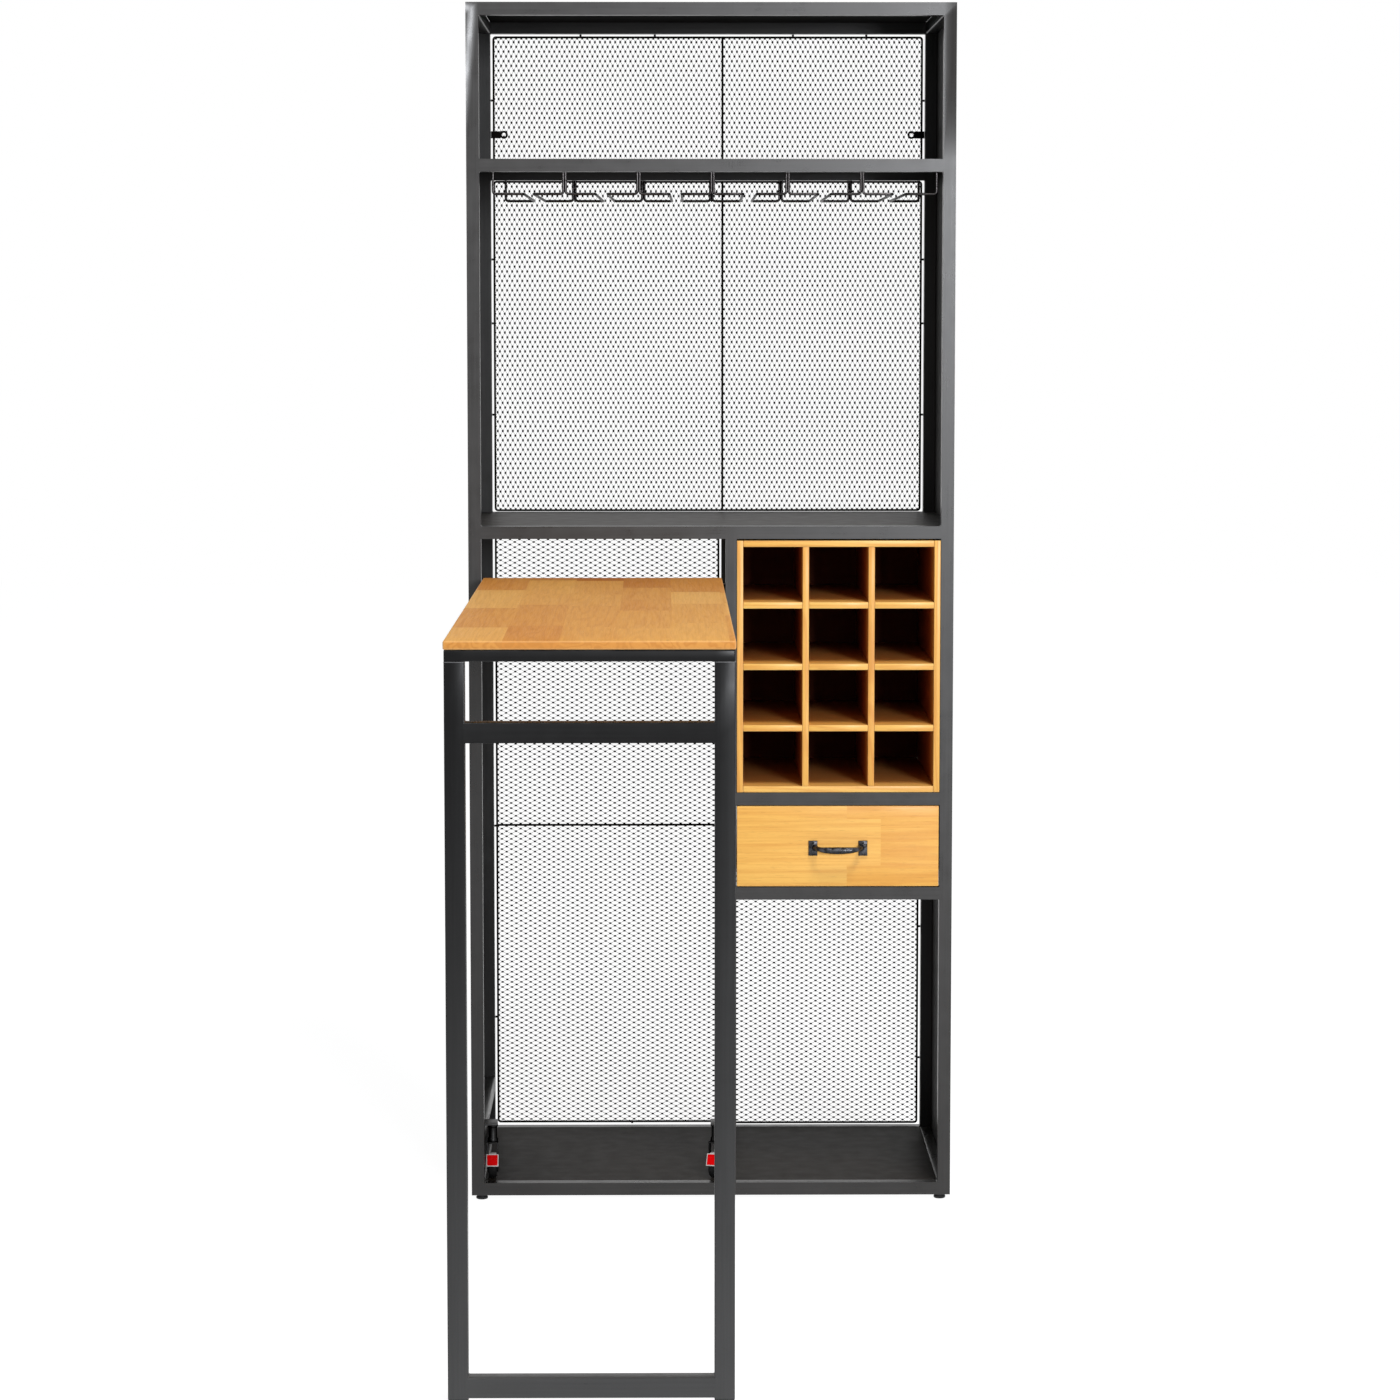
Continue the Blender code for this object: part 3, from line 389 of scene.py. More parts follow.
def make_woods():
    """Tabletop, drawer and rack; the tones of each run from the darkest stave to the palest."""
    m = MATERIALS
    top = (0.50, 0.170, 0.033), (0.67, 0.290, 0.064), (0.79, 0.410, 0.104), (0.86, 0.485, 0.142)
    front = (0.66, 0.320, 0.050), (0.72, 0.380, 0.068), (0.76, 0.425, 0.086), (0.79, 0.465, 0.108)
    rack = (0.66, 0.335, 0.060), (0.74, 0.425, 0.090), (0.79, 0.490, 0.125)
    case = (0.63, 0.300, 0.050), (0.71, 0.385, 0.077), (0.77, 0.450, 0.105)
    m["tabletop"] = timber("tabletop_wood", Y, top, gloss=0.50, specular=0.04, clear=0.0, contrast=0.45,
                           ends=(0.47, 0.195, 0.044))
    m["drawer_front"] = timber("drawer_front_wood", X, front, ring=0.7, gloss=0.42, clear=0.05)
    m["box"] = timber("drawer_box_wood", Y, rack, contrast=0.6)
    # Shelves and uprights carry a painted shade on the sides that face into the cells.
    m["rack_x"] = timber("rack_shelf_wood", X, rack, contrast=0.7, inside=0.55)
    m["rack_z"] = timber("rack_upright_wood", Z, case, contrast=0.7, inside=0.84)
    # The back's face towards the cells is painted near-black, a painted shade.
    m["rack_back"] = timber("rack_back_wood", Z, case, ring=0.8, gloss=0.60, specular=0.10, clear=0.0,
                            faced=halfway("rack_back", Y))


def make_plastics():
    """Wheels, feet, caps and pedals."""
    m = MATERIALS
    m["rubber"] = moulded("wheel_rubber", grey(0.004), grey(0.010), 0.72, 0.10)
    m["plastic"] = moulded("foot_plastic", grey(0.006), grey(0.016), 0.5, 0.25)
    m["cap"] = moulded("cap_plastic", grey(0.050), (0.085, 0.084, 0.083), 0.5, 0.25)
    m["red"] = moulded("pedal_plastic", (0.56, 0.001, 0.002), (0.70, 0.003, 0.004), 0.46, 0.02)
    m["pale"] = moulded("pedal_rim_plastic", (0.42, 0.39, 0.38), (0.62, 0.60, 0.59), 0.42, 0.30)


# Geometry helpers


def put(name, data):
    """A new object of the scene."""
    thing = bpy.data.objects.new(name, data)
    bpy.context.scene.collection.objects.link(thing)
    return thing


def claim(piece, material, body, replaced):
    """Give a piece its material, the body that it rides and the nodes that it stands for."""
    piece.data.materials.append(MATERIALS[material])
    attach(piece, body)
    if replaced:
        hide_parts(*replaced)


def publish(name, builder, material, body, *replaced):
    """Turn a bmesh into a finished piece."""
    bmesh.ops.recalc_face_normals(builder, faces=builder.faces)
    mesh = bpy.data.meshes.new(name)
    builder.to_mesh(mesh)
    builder.free()
    mesh.shade_smooth()
    mesh.set_sharp_from_angle(angle=SHARP_FROM)
    claim(put(name, mesh), material, body, replaced)


def face_layers(builder, *names):
    """The named float layers; all are made before any is used, as making one unseats the others."""
    for name in names:
        if not builder.faces.layers.float.get(name):
            builder.faces.layers.float.new(name)
    return [builder.faces.layers.float.get(name) for name in names]


def soften(builder, width, segments=3):
    """Round the sharp edges and mark the new faces, and the faces that run upright, for the coat."""
    (layer,) = face_layers(builder, "edge")
    edges = [e for e in builder.edges if len(e.link_faces) == 2 and e.calc_face_angle() > ROUNDED_FROM]
    made = bmesh.ops.bevel(
        builder, geom=edges, offset=width, offset_type="OFFSET", segments=segments, profile=0.5,
        affect="EDGES", clamp_overlap=True,
    )
    for face in made["faces"]:
        face[layer] = 1.0
    (upright,) = face_layers(builder, "upright")
    for face in builder.faces:
        spans = [max(v.co[k] for v in face.verts) - min(v.co[k] for v in face.verts) for k in range(3)]
        face[upright] = 1.0 if spans[2] >= 0.99 * max(spans[:2]) else 0.0
    return builder


def moved(builder, offset, turn=None):
    """Turn a shape about the origin, then shift it."""
    if turn is not None:
        bmesh.ops.rotate(builder, matrix=turn, verts=builder.verts)
    bmesh.ops.translate(builder, vec=offset, verts=builder.verts)
    return builder


def block(low, high):
    builder = bmesh.new()
    bmesh.ops.create_cube(builder, size=1)
    bmesh.ops.scale(builder, vec=[b - a for a, b in zip(low, high)], verts=builder.verts)
    return moved(builder, [(a + b) / 2 for a, b in zip(low, high)])


def outline_block(normal, rectangles, low, high):
    """Rectangles in the plane across an axis, joined into one outline and extruded from low to high."""
    across = sorted({value for r in rectangles for value in r[:2]})
    along = sorted({value for r in rectangles for value in r[2:]})
    builder = bmesh.new()
    corners = {}

    def corner(i, j):
        if (i, j) not in corners:
            place = [across[i], along[j]]
            place.insert(normal, low)
            corners[i, j] = builder.verts.new(place)
        return corners[i, j]

    for i in range(len(across) - 1):
        for j in range(len(along) - 1):
            a = (across[i] + across[i + 1]) / 2
            b = (along[j] + along[j + 1]) / 2
            if any(r[0] < a < r[1] and r[2] < b < r[3] for r in rectangles):
                builder.faces.new((corner(i, j), corner(i + 1, j), corner(i + 1, j + 1), corner(i, j + 1)))
    out = [0, 0]
    out.insert(normal, high - low)
    grown = bmesh.ops.extrude_face_region(builder, geom=builder.faces[:])
    new_verts = [item for item in grown["geom"] if isinstance(item, bmesh.types.BMVert)]
    bmesh.ops.translate(builder, vec=out, verts=new_verts)
    bmesh.ops.recalc_face_normals(builder, faces=builder.faces)
    return builder


def rounded_path(points, radius, steps=6, closed=False):
    """The corners of a path replaced by short arcs."""
    points = [Vector(p) for p in points]
    around = points[-1:] + points + points[:1] if closed else points
    path = []
    for before, at, after in zip(around, around[1:], around[2:]):
        into = (at - before).normalized()
        out = (after - at).normalized()
        half = into.angle(out) / 2
        start = at - into * radius * math.tan(half)
        centre = start + (out - into * into.dot(out)).normalized() * radius
        for k in range(steps + 1):
            turn = Matrix.Rotation(2 * half * k / steps, 3, into.cross(out).normalized())
            path.append(centre + turn @ (start - centre))
    return path if closed else [points[0], *path, points[-1]]


def wires(name, paths, radius, material, body, *replaced, closed=(), radii=None):
    """Round wire along one or more paths, as one piece."""
    curve = bpy.data.curves.new(name, "CURVE")
    curve.dimensions = "3D"
    curve.bevel_depth = radius
    curve.bevel_resolution = 3
    curve.use_fill_caps = True
    for index, path in enumerate(paths):
        spline = curve.splines.new("POLY")
        spline.points.add(len(path) - 1)
        for k, point in enumerate(path):
            spline.points[k].co = (*point, 1)
            if radii:
                spline.points[k].radius = radii[k]
        spline.use_cyclic_u = index in closed
        spline.use_smooth = True
    claim(put(name, curve), material, body, replaced)


def mirrored(half):
    """A profile that is alike on both sides of station zero, from its upper half."""
    return [(radius, -station) for radius, station in reversed(half)] + half


def lathe(profile, centre=(0, 0, 0), axis=Z, steps=40):
    """A closed turned form: (radius, station) pairs spun round an axis through a point."""
    builder = bmesh.new()
    rings = []
    for radius, station in profile:
        ring = []
        for k in range(steps if radius else 1):
            angle = 2 * math.pi * k / steps
            ring.append(builder.verts.new((radius * math.cos(angle), radius * math.sin(angle), station)))
        rings.append(ring)
    for first, second in zip(rings, rings[1:] + rings[:1]):
        if len(first) == 1 and len(second) == 1:
            continue
        for k in range(steps):
            n = (k + 1) % steps
            corners = {first[k % len(first)]: 0, first[n % len(first)]: 0}
            corners.update({second[n % len(second)]: 0, second[k % len(second)]: 0})
            if len(corners) > 2:
                builder.faces.new(list(corners))
    about = {X: "Y", Y: "X"}.get(axis)
    return moved(builder, centre, Matrix.Rotation(math.pi / 2, 3, about) if about else None)


def join(target, *others):
    """Copy other bmeshes into the first one."""
    for other in others:
        mesh = bpy.data.meshes.new("part")
        other.to_mesh(mesh)
        other.free()
        target.from_mesh(mesh)
        bpy.data.meshes.remove(mesh)
    return target


def cut(builder, axis, places):
    """Cut a body with planes across an axis, so that each stretch has faces of its own."""
    normal = [float(k == axis) for k in range(3)]
    for place in places:
        geometry = builder.verts[:] + builder.edges[:] + builder.faces[:]
        point = [place * v for v in normal]
        bmesh.ops.bisect_plane(builder, geom=geometry, plane_co=point, plane_no=normal)


# Cabinet


def make_frames():
    """Front and rear frames: welded and ground square tube with rounded edges."""
    low, high = box("front_frame")
    tube = high.y - low.y
    decks = {n: box(n)[1].z for n in (*SHELF_DECKS, "rack_deck")}
    post = box("mesh_lower_left")[1].x + MESH_TO_POST - GAP, box("rack_deck")[0].x - GAP
    drawer_low = box("drawer_front")[0].z - RAIL_TO_DRAWER
    rectangles = [(low.x, low.x + tube, low.z, high.z), (high.x - tube, high.x, low.z, high.z)]
    rectangles += [(low.x, high.x, decks[name] - tube, decks[name]) for name in SHELF_DECKS]
    rectangles.append((*post, low.z, decks["mid_shelf_deck"] - tube))
    rectangles += [(post[0], high.x, top - tube, top) for top in (decks["rack_deck"], drawer_low)]
    for name, material in (("front_frame", "frame"), ("rear_frame", "rear")):
        near, far = box(name)
        builder = outline_block(Y, rectangles, near.y, far.y)
        publish(f"{name}_tubes", soften(builder, TUBE_EDGE), material, "cabinet", name)
    return decks, post, tube, drawer_low


def make_bars():
    """Side rails and the table's guide: straight bars with rounded edges."""
    sides = "left", "right"
    bars = [(f"top_side_rail_{side}", "rear", RAIL_EDGE) for side in sides]
    bars += [(f"floor_side_rail_{side}", "frame", RAIL_EDGE) for side in sides]
    for name, material, edge in (*bars, ("bay_guide_rail", "rear", GUIDE_EDGE)):
        publish(f"{name}_tube", soften(block(*box(name)), edge), material, "cabinet", name)


def make_runners():
    """The drawer's runners: strip folded into a channel with lips, and the balls that show in it."""
    web, lip = 0.0016, 0.006
    ball_count, ball_inset, ball_offset = 9, 0.024, 0.0042
    ball = mirrored([(0.0021, 0.0008), (0.0012, 0.0019), (0, 0.0022)])
    for side, sign in (("left", 1), ("right", -1)):
        name = f"drawer_runner_{side}"
        low, high = box(name)
        inner, outer = (low.x, high.x) if sign > 0 else (high.x, low.x)
        strips = [(inner, inner + sign * web, low.z, high.z)]
        strips += [(inner, outer, z, z + web) for z in (low.z, high.z - web)]
        strips += [(outer - sign * web, outer, z, z + lip) for z in (low.z, high.z - lip)]
        blocks = []
        for a, b, bottom, top in strips:
            blocks.append(block((min(a, b), low.y, bottom), (max(a, b), high.y, top)))
        publish(f"{name}_rail", soften(join(*blocks), 0.0004, 2), "zinc", "cabinet", name)
        for k in range(ball_count):
            y = low.y + ball_inset + k * (high.y - low.y - 2 * ball_inset) / (ball_count - 1)
            place = inner + sign * ball_offset, y, (low.z + high.z) / 2
            publish(f"{name}_ball_{k + 1}", lathe(ball, place, X, 12), "zinc", "cabinet")


def make_sheets():
    """Decks and side sheets keep their solids and get the sheet's coat."""
    # The side and top sheets' coats are painted darker on their inner faces, a painted shade.
    finishes = {"floor_deck": "floor_sheet", "top_deck": "top", "side_panel_left": "side",
                "side_panel_right": "side"}
    for name in (*SHELF_DECKS, "rack_deck", "side_panel_left", "side_panel_right"):
        for slot in frame["nodes"][name].material_slots:
            slot.material = MATERIALS[finishes.get(name, "sheet")]


def make_welds(decks, post, tube, drawer_low):
    """Small dressed weld beads in the inner corners of both frames."""
    low, high = box("front_frame")
    left, right = low.x + tube, high.x - tube
    corners = []
    for name in SHELF_DECKS:
        if name != "floor_deck":
            corners += [(left, decks[name] - tube, 1, -1), (right, decks[name] - tube, -1, -1)]
        if name != "top_deck":
            corners += [(left, decks[name], 1, 1), (right, decks[name], -1, 1)]
    for z, up in ((decks["mid_shelf_deck"] - tube, -1), (decks["floor_deck"], 1)):
        corners += [(post[0], z, -1, up), (post[1], z, 1, up)]
    for top in (decks["rack_deck"], drawer_low):
        corners += [(post[1], top - tube, 1, -1), (right, top - tube, -1, -1)]
    bead, steps = 0.0017, 5
    arc = [(bead * (1 - math.sin(a)), bead * (1 - math.cos(a)))
           for a in (math.pi / 2 * k / steps for k in range(steps + 1))]
    for name, material, inset in (("front_frame", "frame", 0.0030), ("rear_frame", "rear", 0.0045)):
        near, far = box(name)
        builder = bmesh.new()
        for x, z, sx, sz in corners:
            outline = [(x, z)] + [(x + sx * a, z + sz * b) for a, b in arc]
            front, back = ([builder.verts.new((a, y, b)) for a, b in outline]
                           for y in (near.y + inset, far.y - inset))
            for k in range(len(outline)):
                n = (k + 1) % len(outline)
                builder.faces.new((front[k], front[n], back[n], back[k]))
            builder.faces.new(front)
            builder.faces.new(back[::-1])
        publish(f"{name}_welds", builder, material, "cabinet")


def expanded_sheet(node, across, along, level, upright, pitch, knuckle):
    """Expanded metal: thin strands that zigzag between the sides of their lane, and knuckles where they meet.

    across and along are the ranges over the lanes and down their length; an upright sheet has lanes
    that run along Z, the other kind along X. pitch is the diamond's size across and along, and
    knuckle is half the size of a knuckle.
    """
    lanes = round((across[1] - across[0]) / (pitch[0] / 2))
    steps = round((along[1] - along[0]) / (pitch[1] / 2))
    lane = (across[1] - across[0]) / lanes
    step = (along[1] - along[0]) / steps
    half_strand = STRAND_WIDTH / 2
    half_sheet = SHEET_THICKNESS / 2
    verts = []
    faces = []

    def add(wide, deep, long):
        verts.append((wide, level + deep, long) if upright else (long, level + deep, wide))

    def inside(value, limits, margin):
        return min(max(value, limits[0] + margin), limits[1] - margin)

    for i in range(lanes):
        for j in range(steps + 1):
            far = (i + j) % 2
            centre = across[0] + (i + (1 - LANE_EDGE_SHARE if far else LANE_EDGE_SHARE)) * lane
            lean = half_sheet * (0.5 if far else -0.5)
            for wide, deep in ((-half_strand, -half_sheet), (half_strand, -half_sheet),
                               (half_strand, half_sheet), (-half_strand, half_sheet)):
                add(inside(centre + wide, across, 0), deep + lean, along[0] + j * step)
            if j:
                base = len(verts) - 8
                for k in range(4):
                    n = (k + 1) % 4
                    faces.append((base + k, base + n, base + 4 + n, base + 4 + k))
        start, end = len(verts) - 4 * (steps + 1), len(verts) - 4
        faces.append((start + 3, start + 2, start + 1, start))
        faces.append((end, end + 1, end + 2, end + 3))
    half_wide, half_long = knuckle
    edge_margin, swelling = 0.7, 1.6
    outline = ((-1, -0.42), (0, -1), (1, -0.42), (1, 0.42), (0, 1), (-1, 0.42))
    for i in range(-1, lanes):
        for j in range((i + 1) % 2, steps + 1, 2):
            base = len(verts)
            wide = inside(across[0] + (i + 1) * lane, across, edge_margin * half_wide)
            long = inside(along[0] + j * step, along, edge_margin * half_long)
            for a, b in outline:
                add(wide + a * half_wide, 0, long + b * half_long)
            add(wide, -swelling * half_sheet, long)
            add(wide, swelling * half_sheet, long)
            for k in range(len(outline)):
                n = (k + 1) % len(outline)
                faces.append((base + k, base + n, base + 6))
                faces.append((base + n, base + k, base + 7))
    name = f"{node}_sheet"
    mesh = bpy.data.meshes.new(name)
    mesh.from_pydata(verts, [], faces)
    claim(put(name, mesh), "mesh", "cabinet", (node,))


def make_mesh_back():
    """Each field of the back: sheet, edge wire with rounded corners, cross wire, short tabs to the frame.

    A row gives how far the sheet stays inside its node at the left, right, bottom and top, which way
    its lanes and its cross wire run, and where its tabs are, as shares, above, below and beside it.
    """
    side = 0.0027
    for node, margins, upright, crossed, tabs in (
        ("mesh_top", (side, side, 0.0, side), True, True, (TOP_TABS, (), (0.50,))),
        ("mesh_middle", (side, side, -0.0029, 0.0), True, True, ((), (0.165,), (0.29, 0.568, 0.762))),
        ("mesh_lower_left", (side, 0.0, 0.0012, side), False, True, ((), (0.61,), (0.18, 0.50, 0.82))),
        ("mesh_lower_right", (0.0, side, -0.0010, side), False, False, ((), (), (0.25, 0.75))),
    ):
        low, high = box(node)
        x = (low.x + margins[0] + EDGE_WIRE, high.x - margins[1] - EDGE_WIRE)
        z = (low.z + margins[2] + EDGE_WIRE, high.z - margins[3] - EDGE_WIRE)
        y = (low.y + high.y) / 2
        if upright:
            expanded_sheet(node, x, z, y, True, PITCH_UPRIGHT, KNUCKLE_UPRIGHT)
        else:
            expanded_sheet(node, z, x, y, False, PITCH_LEVEL, KNUCKLE_LEVEL)
        corners = [(x[0], y, z[0]), (x[1], y, z[0]), (x[1], y, z[1]), (x[0], y, z[1])]
        paths = [rounded_path(corners, WIRE_CORNER, closed=True)]
        if crossed and upright:
            middle = box("mesh_lower_left")[1].x + CROSS_WIRE_OFFSET
            paths.append([(middle, y, z[0]), (middle, y, z[1])])
        elif crossed:
            height = z[0] + CROSS_WIRE_SHARE * (z[1] - z[0])
            paths.append([(x[0], y, height), (x[1], y, height)])
        above, below, beside = tabs
        for shares, ends in ((above, (z[1], high.z)), (below, (low.z, z[0]))):
            for share in shares:
                place = low.x + share * (high.x - low.x)
                paths.append([(place, y, end) for end in ends])
        for share in beside:
            place = low.z + share * (high.z - low.z)
            paths += [[(low.x, y, place), (x[0], y, place)], [(x[1], y, place), (high.x, y, place)]]
        wires(f"{node}_wire", paths, EDGE_WIRE, "mesh", "cabinet", closed=(0,))


def make_lugs():
    """Flat fixing lugs of the upper mesh, with a raised ring round the hole."""
    low, high = box("mesh_top")
    above_shelf, reach, overlap = 0.0534, 0.0205, 0.0048
    level = box("upper_shelf_deck")[1].z + above_shelf
    half_thick, half_high = 0.0012, 0.0056
    profile = mirrored([(0.0064, 0.0010), (0.0058, 0.0016), (0.0032, 0.0016)])
    y = (low.y + high.y) / 2
    for side, edge, sign in (("left", low.x, 1), ("right", high.x, -1)):
        eye = edge + sign * reach
        ring = lathe(profile, (eye, y, level), Y, 32)
        near, far = sorted((edge, eye - sign * overlap))
        tongue = block((near, y - half_thick, level - half_high), (far, y + half_thick, level + half_high))
        publish(f"fixing_lug_{side}", join(ring, soften(tongue, THIN_EDGE, 2)), "mesh", "cabinet")


def make_feet():
    """Turned plastic feet with a waist; the profile is in shares of the radius and the height."""
    shares = ((0, 0), (0.80, 0), (0.93, 0.06), (1, 0.20), (1, 0.46), (0.90, 0.56), (0.86, 0.62),
              (0.86, 0.94), (0.82, 1), (0, 1))
    for name in ("foot_front_left", "foot_front_right", "foot_rear_left", "foot_rear_right"):
        low, high = box(name)
        radius = (high.x - low.x) / 2
        profile = [(radius * a, high.z * b) for a, b in shares]
        foot = lathe(profile, (halfway(name, X), halfway(name, Y), 0))
        publish(f"{name}_glide", foot, "plastic", "cabinet", name)


# Wood


def dress(node, builder, along, material, body, rng, staves=None, kind="board"):
    """Publish a wooden piece, with the tone of each stave and the end grain marked on its faces."""
    tone, end = face_layers(builder, "stave", "end")
    own = rng.random()
    builder.normal_update()
    for face in builder.faces:
        face[tone] = staves(face.calc_center_median()) if staves else own
        face[end] = 1.0 if abs(face.normal[along]) > 0.7 else 0.0
    publish(f"{node}_{kind}", builder, material, body, node)


def board(node, along, material, body, rng):
    dress(node, soften(block(*box(node)), BOARD_EDGE), along, material, body, rng)


def free_stretches(low, high, crossing, axis):
    """The stretches of a board along an axis that the boards across it leave free."""
    stops = [low[axis], *(v for a, b in crossing for v in (a[axis] - GAP, b[axis] + GAP)), high[axis]]
    return zip(stops[::2], stops[1::2])


def make_rack():
    """Case and back of the wine rack; its uprights and shelves are halved into each other."""
    rng = random.Random(11)
    for name, material in (("rack_side_left", "rack_z"), ("rack_side_right", "rack_z"),
                           ("rack_bottom", "rack_x"), ("rack_top", "rack_x")):
        board(name, Y, material, "cabinet", rng)
    low, high = box("rack_back")
    overlap = 0.0004
    seat = Vector((overlap, 0, overlap))
    back = soften(block(low - seat, high + seat), NOTCHED_EDGE, 2)
    dress("rack_back", back, Z, "rack_back", "cabinet", rng)
    shelves = [box(f"rack_shelf_{k}") for k in (1, 2, 3)]
    uprights = [box(f"rack_upright_{k}") for k in (1, 2)]
    front, end = uprights[0][0].y, uprights[0][1].y
    middle = (front + end) / 2
    for k, (low, high) in enumerate(uprights, 1):
        parts = [(middle, end, *ends) for ends in free_stretches(low, high, shelves, Z)]
        builder = outline_block(X, [(front, middle, low.z, high.z), *parts], low.x, high.x)
        dress(f"rack_upright_{k}", soften(builder, NOTCHED_EDGE, 2), Y, "rack_z", "cabinet", rng)
    for k, (low, high) in enumerate(shelves, 1):
        parts = [(*ends, front, middle + GAP) for ends in free_stretches(low, high, uprights, X)]
        builder = outline_block(Z, [(low.x, high.x, middle + GAP, end), *parts], low.z, high.z)
        dress(f"rack_shelf_{k}", soften(builder, NOTCHED_EDGE, 2), Y, "rack_x", "cabinet", rng)


def make_tabletop():
    """Glued slab: staves of one width running from front to back, end-jointed at random lengths.

    The staves are painted paler towards the middle of the length, a painted sheen, and darker towards the
    rear, a painted shadow of the cabinet. The order of the slab's first faces can vary, so the two staves at
    its front left corner take their tones before all others, and a stave's place along the slab, which is
    read from its first face, is rounded.
    """
    rng = random.Random(5)
    low, high = box("tabletop")
    builder = soften(block(low, high), TABLETOP_EDGE, 4)
    first, width, least = 0.0725, 0.0697, 0.004
    first_lengths, lengths = (0.06, 0.30), (0.20, 0.38)
    columns = [low.x + first + k * width for k in range(5)]
    columns = [c for c in columns if c < high.x - least]
    cut(builder, X, columns)
    joints = []
    for _ in range(len(columns) + 1):
        y = low.y + rng.uniform(*first_lengths)
        run = []
        while y < high.y:
            run.append(y)
            y += rng.uniform(*lengths)
        joints.append(run)
    cut(builder, Y, sorted({y for run in joints for y in run}))
    tones = {}
    # Painted light and shade: stave tones rise towards the middle of the length, a painted sheen, and fall
    # towards the rear, a painted shadow of the cabinet.
    start, chance, bow, painted_rear_shade = 0.08, 0.62, 0.55, 0.28

    def tone(column, part, place):
        if (column, part) not in tones:
            share = round((place - low.y) / (high.y - low.y), 2)
            middle = math.sin(math.pi * (start + (1 - start) * share))
            tones[column, part] = chance * rng.random() + bow * middle - painted_rear_shade * share
        return tones[column, part]

    def stave(point):
        if not tones:
            tone(1, 0, low.y)
            tone(0, 0, low.y)
        column = sum(point.x > c for c in columns)
        return tone(column, sum(point.y > y for y in joints[column]), point.y)

    dress("tabletop", builder, Y, "tabletop", "table", rng, stave, "slab")


def make_drawer():
    """Front of three rows of staves, each row jointed once, and the box behind it."""
    rng = random.Random(23)
    low, high = box("drawer_front")
    overhang = 0.0006
    low.x -= overhang
    builder = soften(block(low, high), DRAWER_EDGE)
    rows = [low.z + (high.z - low.z) * share for share in (0.262, 0.836)]
    joints = [low.x + (high.x - low.x) * share for share in (0.545, 0.713)]
    cut(builder, Z, rows)
    cut(builder, X, joints)
    tones = ((0.96, 0.30), (0.78, 0.34), (0.66, 0.16))

    def stave(point):
        row = sum(point.z > z for z in rows)
        return tones[row][point.x > joints[row == 1]]

    dress("drawer_front", builder, X, "drawer_front", "drawer", rng, stave)
    for name, along in (("drawer_side_left", Y), ("drawer_side_right", Y),
                        ("drawer_back", X), ("drawer_bottom", Y)):
        board(name, along, "box", "drawer", rng)


def spread_evenly(path, count):
    """The same path with its points a fixed distance apart."""
    lengths = [0.0]
    for a, b in zip(path, path[1:]):
        lengths.append(lengths[-1] + (b - a).length)
    spread = []
    for k in range(count):
        goal = lengths[-1] * k / (count - 1)
        j = min(sum(v <= goal for v in lengths) - 1, len(path) - 2)
        share = (goal - lengths[j]) / (lengths[j + 1] - lengths[j])
        spread.append(path[j].lerp(path[j + 1], share))
    return spread


def make_handle():
    """Cast bow, thick in the middle, between two hammered plates with domed nails."""
    low, high = box("drawer_handle")
    face = high.y
    centre_x = (low.x + high.x) / 2
    level = (low.z + high.z) / 2
    half, half_plate, plate = 0.0757 / 2, 0.0069, 0.0030
    reach = high.y - low.y - 0.0046
    half_grip, bend, samples = half * 0.80, 0.017, 41
    corners = [(centre_x - half + plate, face - plate, level), (centre_x - half_grip, face - reach, level),
               (centre_x + half_grip, face - reach, level), (centre_x + half - plate, face - plate, level)]
    path = spread_evenly(rounded_path(corners, bend, 12), samples)
    thin, swelling, foot, foot_share = 0.0022, 0.0032, 0.0022, 0.17
    rise, sag = 0.0018, 0.0011
    radii = []
    for k in range(samples):
        share = k / (samples - 1)
        flare = foot * max(0.0, 1 - min(share, 1 - share) / foot_share)
        swell = math.sin(math.pi * share)
        path[k].z += rise * (1 - swell) - sag * swell
        radii.append(thin + swelling * swell ** 1.3 + flare)
    wires("handle_bow", [path], 1.0, "iron", "drawer", "drawer_handle", radii=radii)
    collar = [(0, 0.0030), (0.0052, 0.0030), (0.0046, 0.0042), (0.0030, 0.0058), (0.0024, 0.0080),
              (0, 0.0080)]
    nail = [(0, 0.0028), (0.0021, 0.0028), (0.0018, 0.0036), (0.0010, 0.0041), (0, 0.0042)]
    waist, nail_drop = 0.0060, 0.0082
    waist_share, waist_bulge = 0.95, 0.0005
    for side, sign in (("left", -1), ("right", 1)):
        x = centre_x + sign * half
        builder = block((x - half_plate, face - plate, low.z), (x + half_plate, face, high.z))
        cut(builder, Z, [level - waist, level, level + waist])
        for vert in builder.verts:
            if abs(vert.co.z - level) < waist + THIN_EDGE:
                vert.co.x = x + (vert.co.x - x) * waist_share
                if vert.co.y < face - plate / 2:
                    vert.co.y -= waist_bulge
        soften(builder, BOARD_EDGE, 2)
        turned = [lathe(collar, (x - sign * plate, face, level), Y, 24)]
        turned += [lathe(nail, (x, face, level + drop), Y, 20) for drop in (-nail_drop, nail_drop)]
        publish(f"handle_plate_{side}", join(builder, *turned), "iron", "drawer")


# Stemware rack


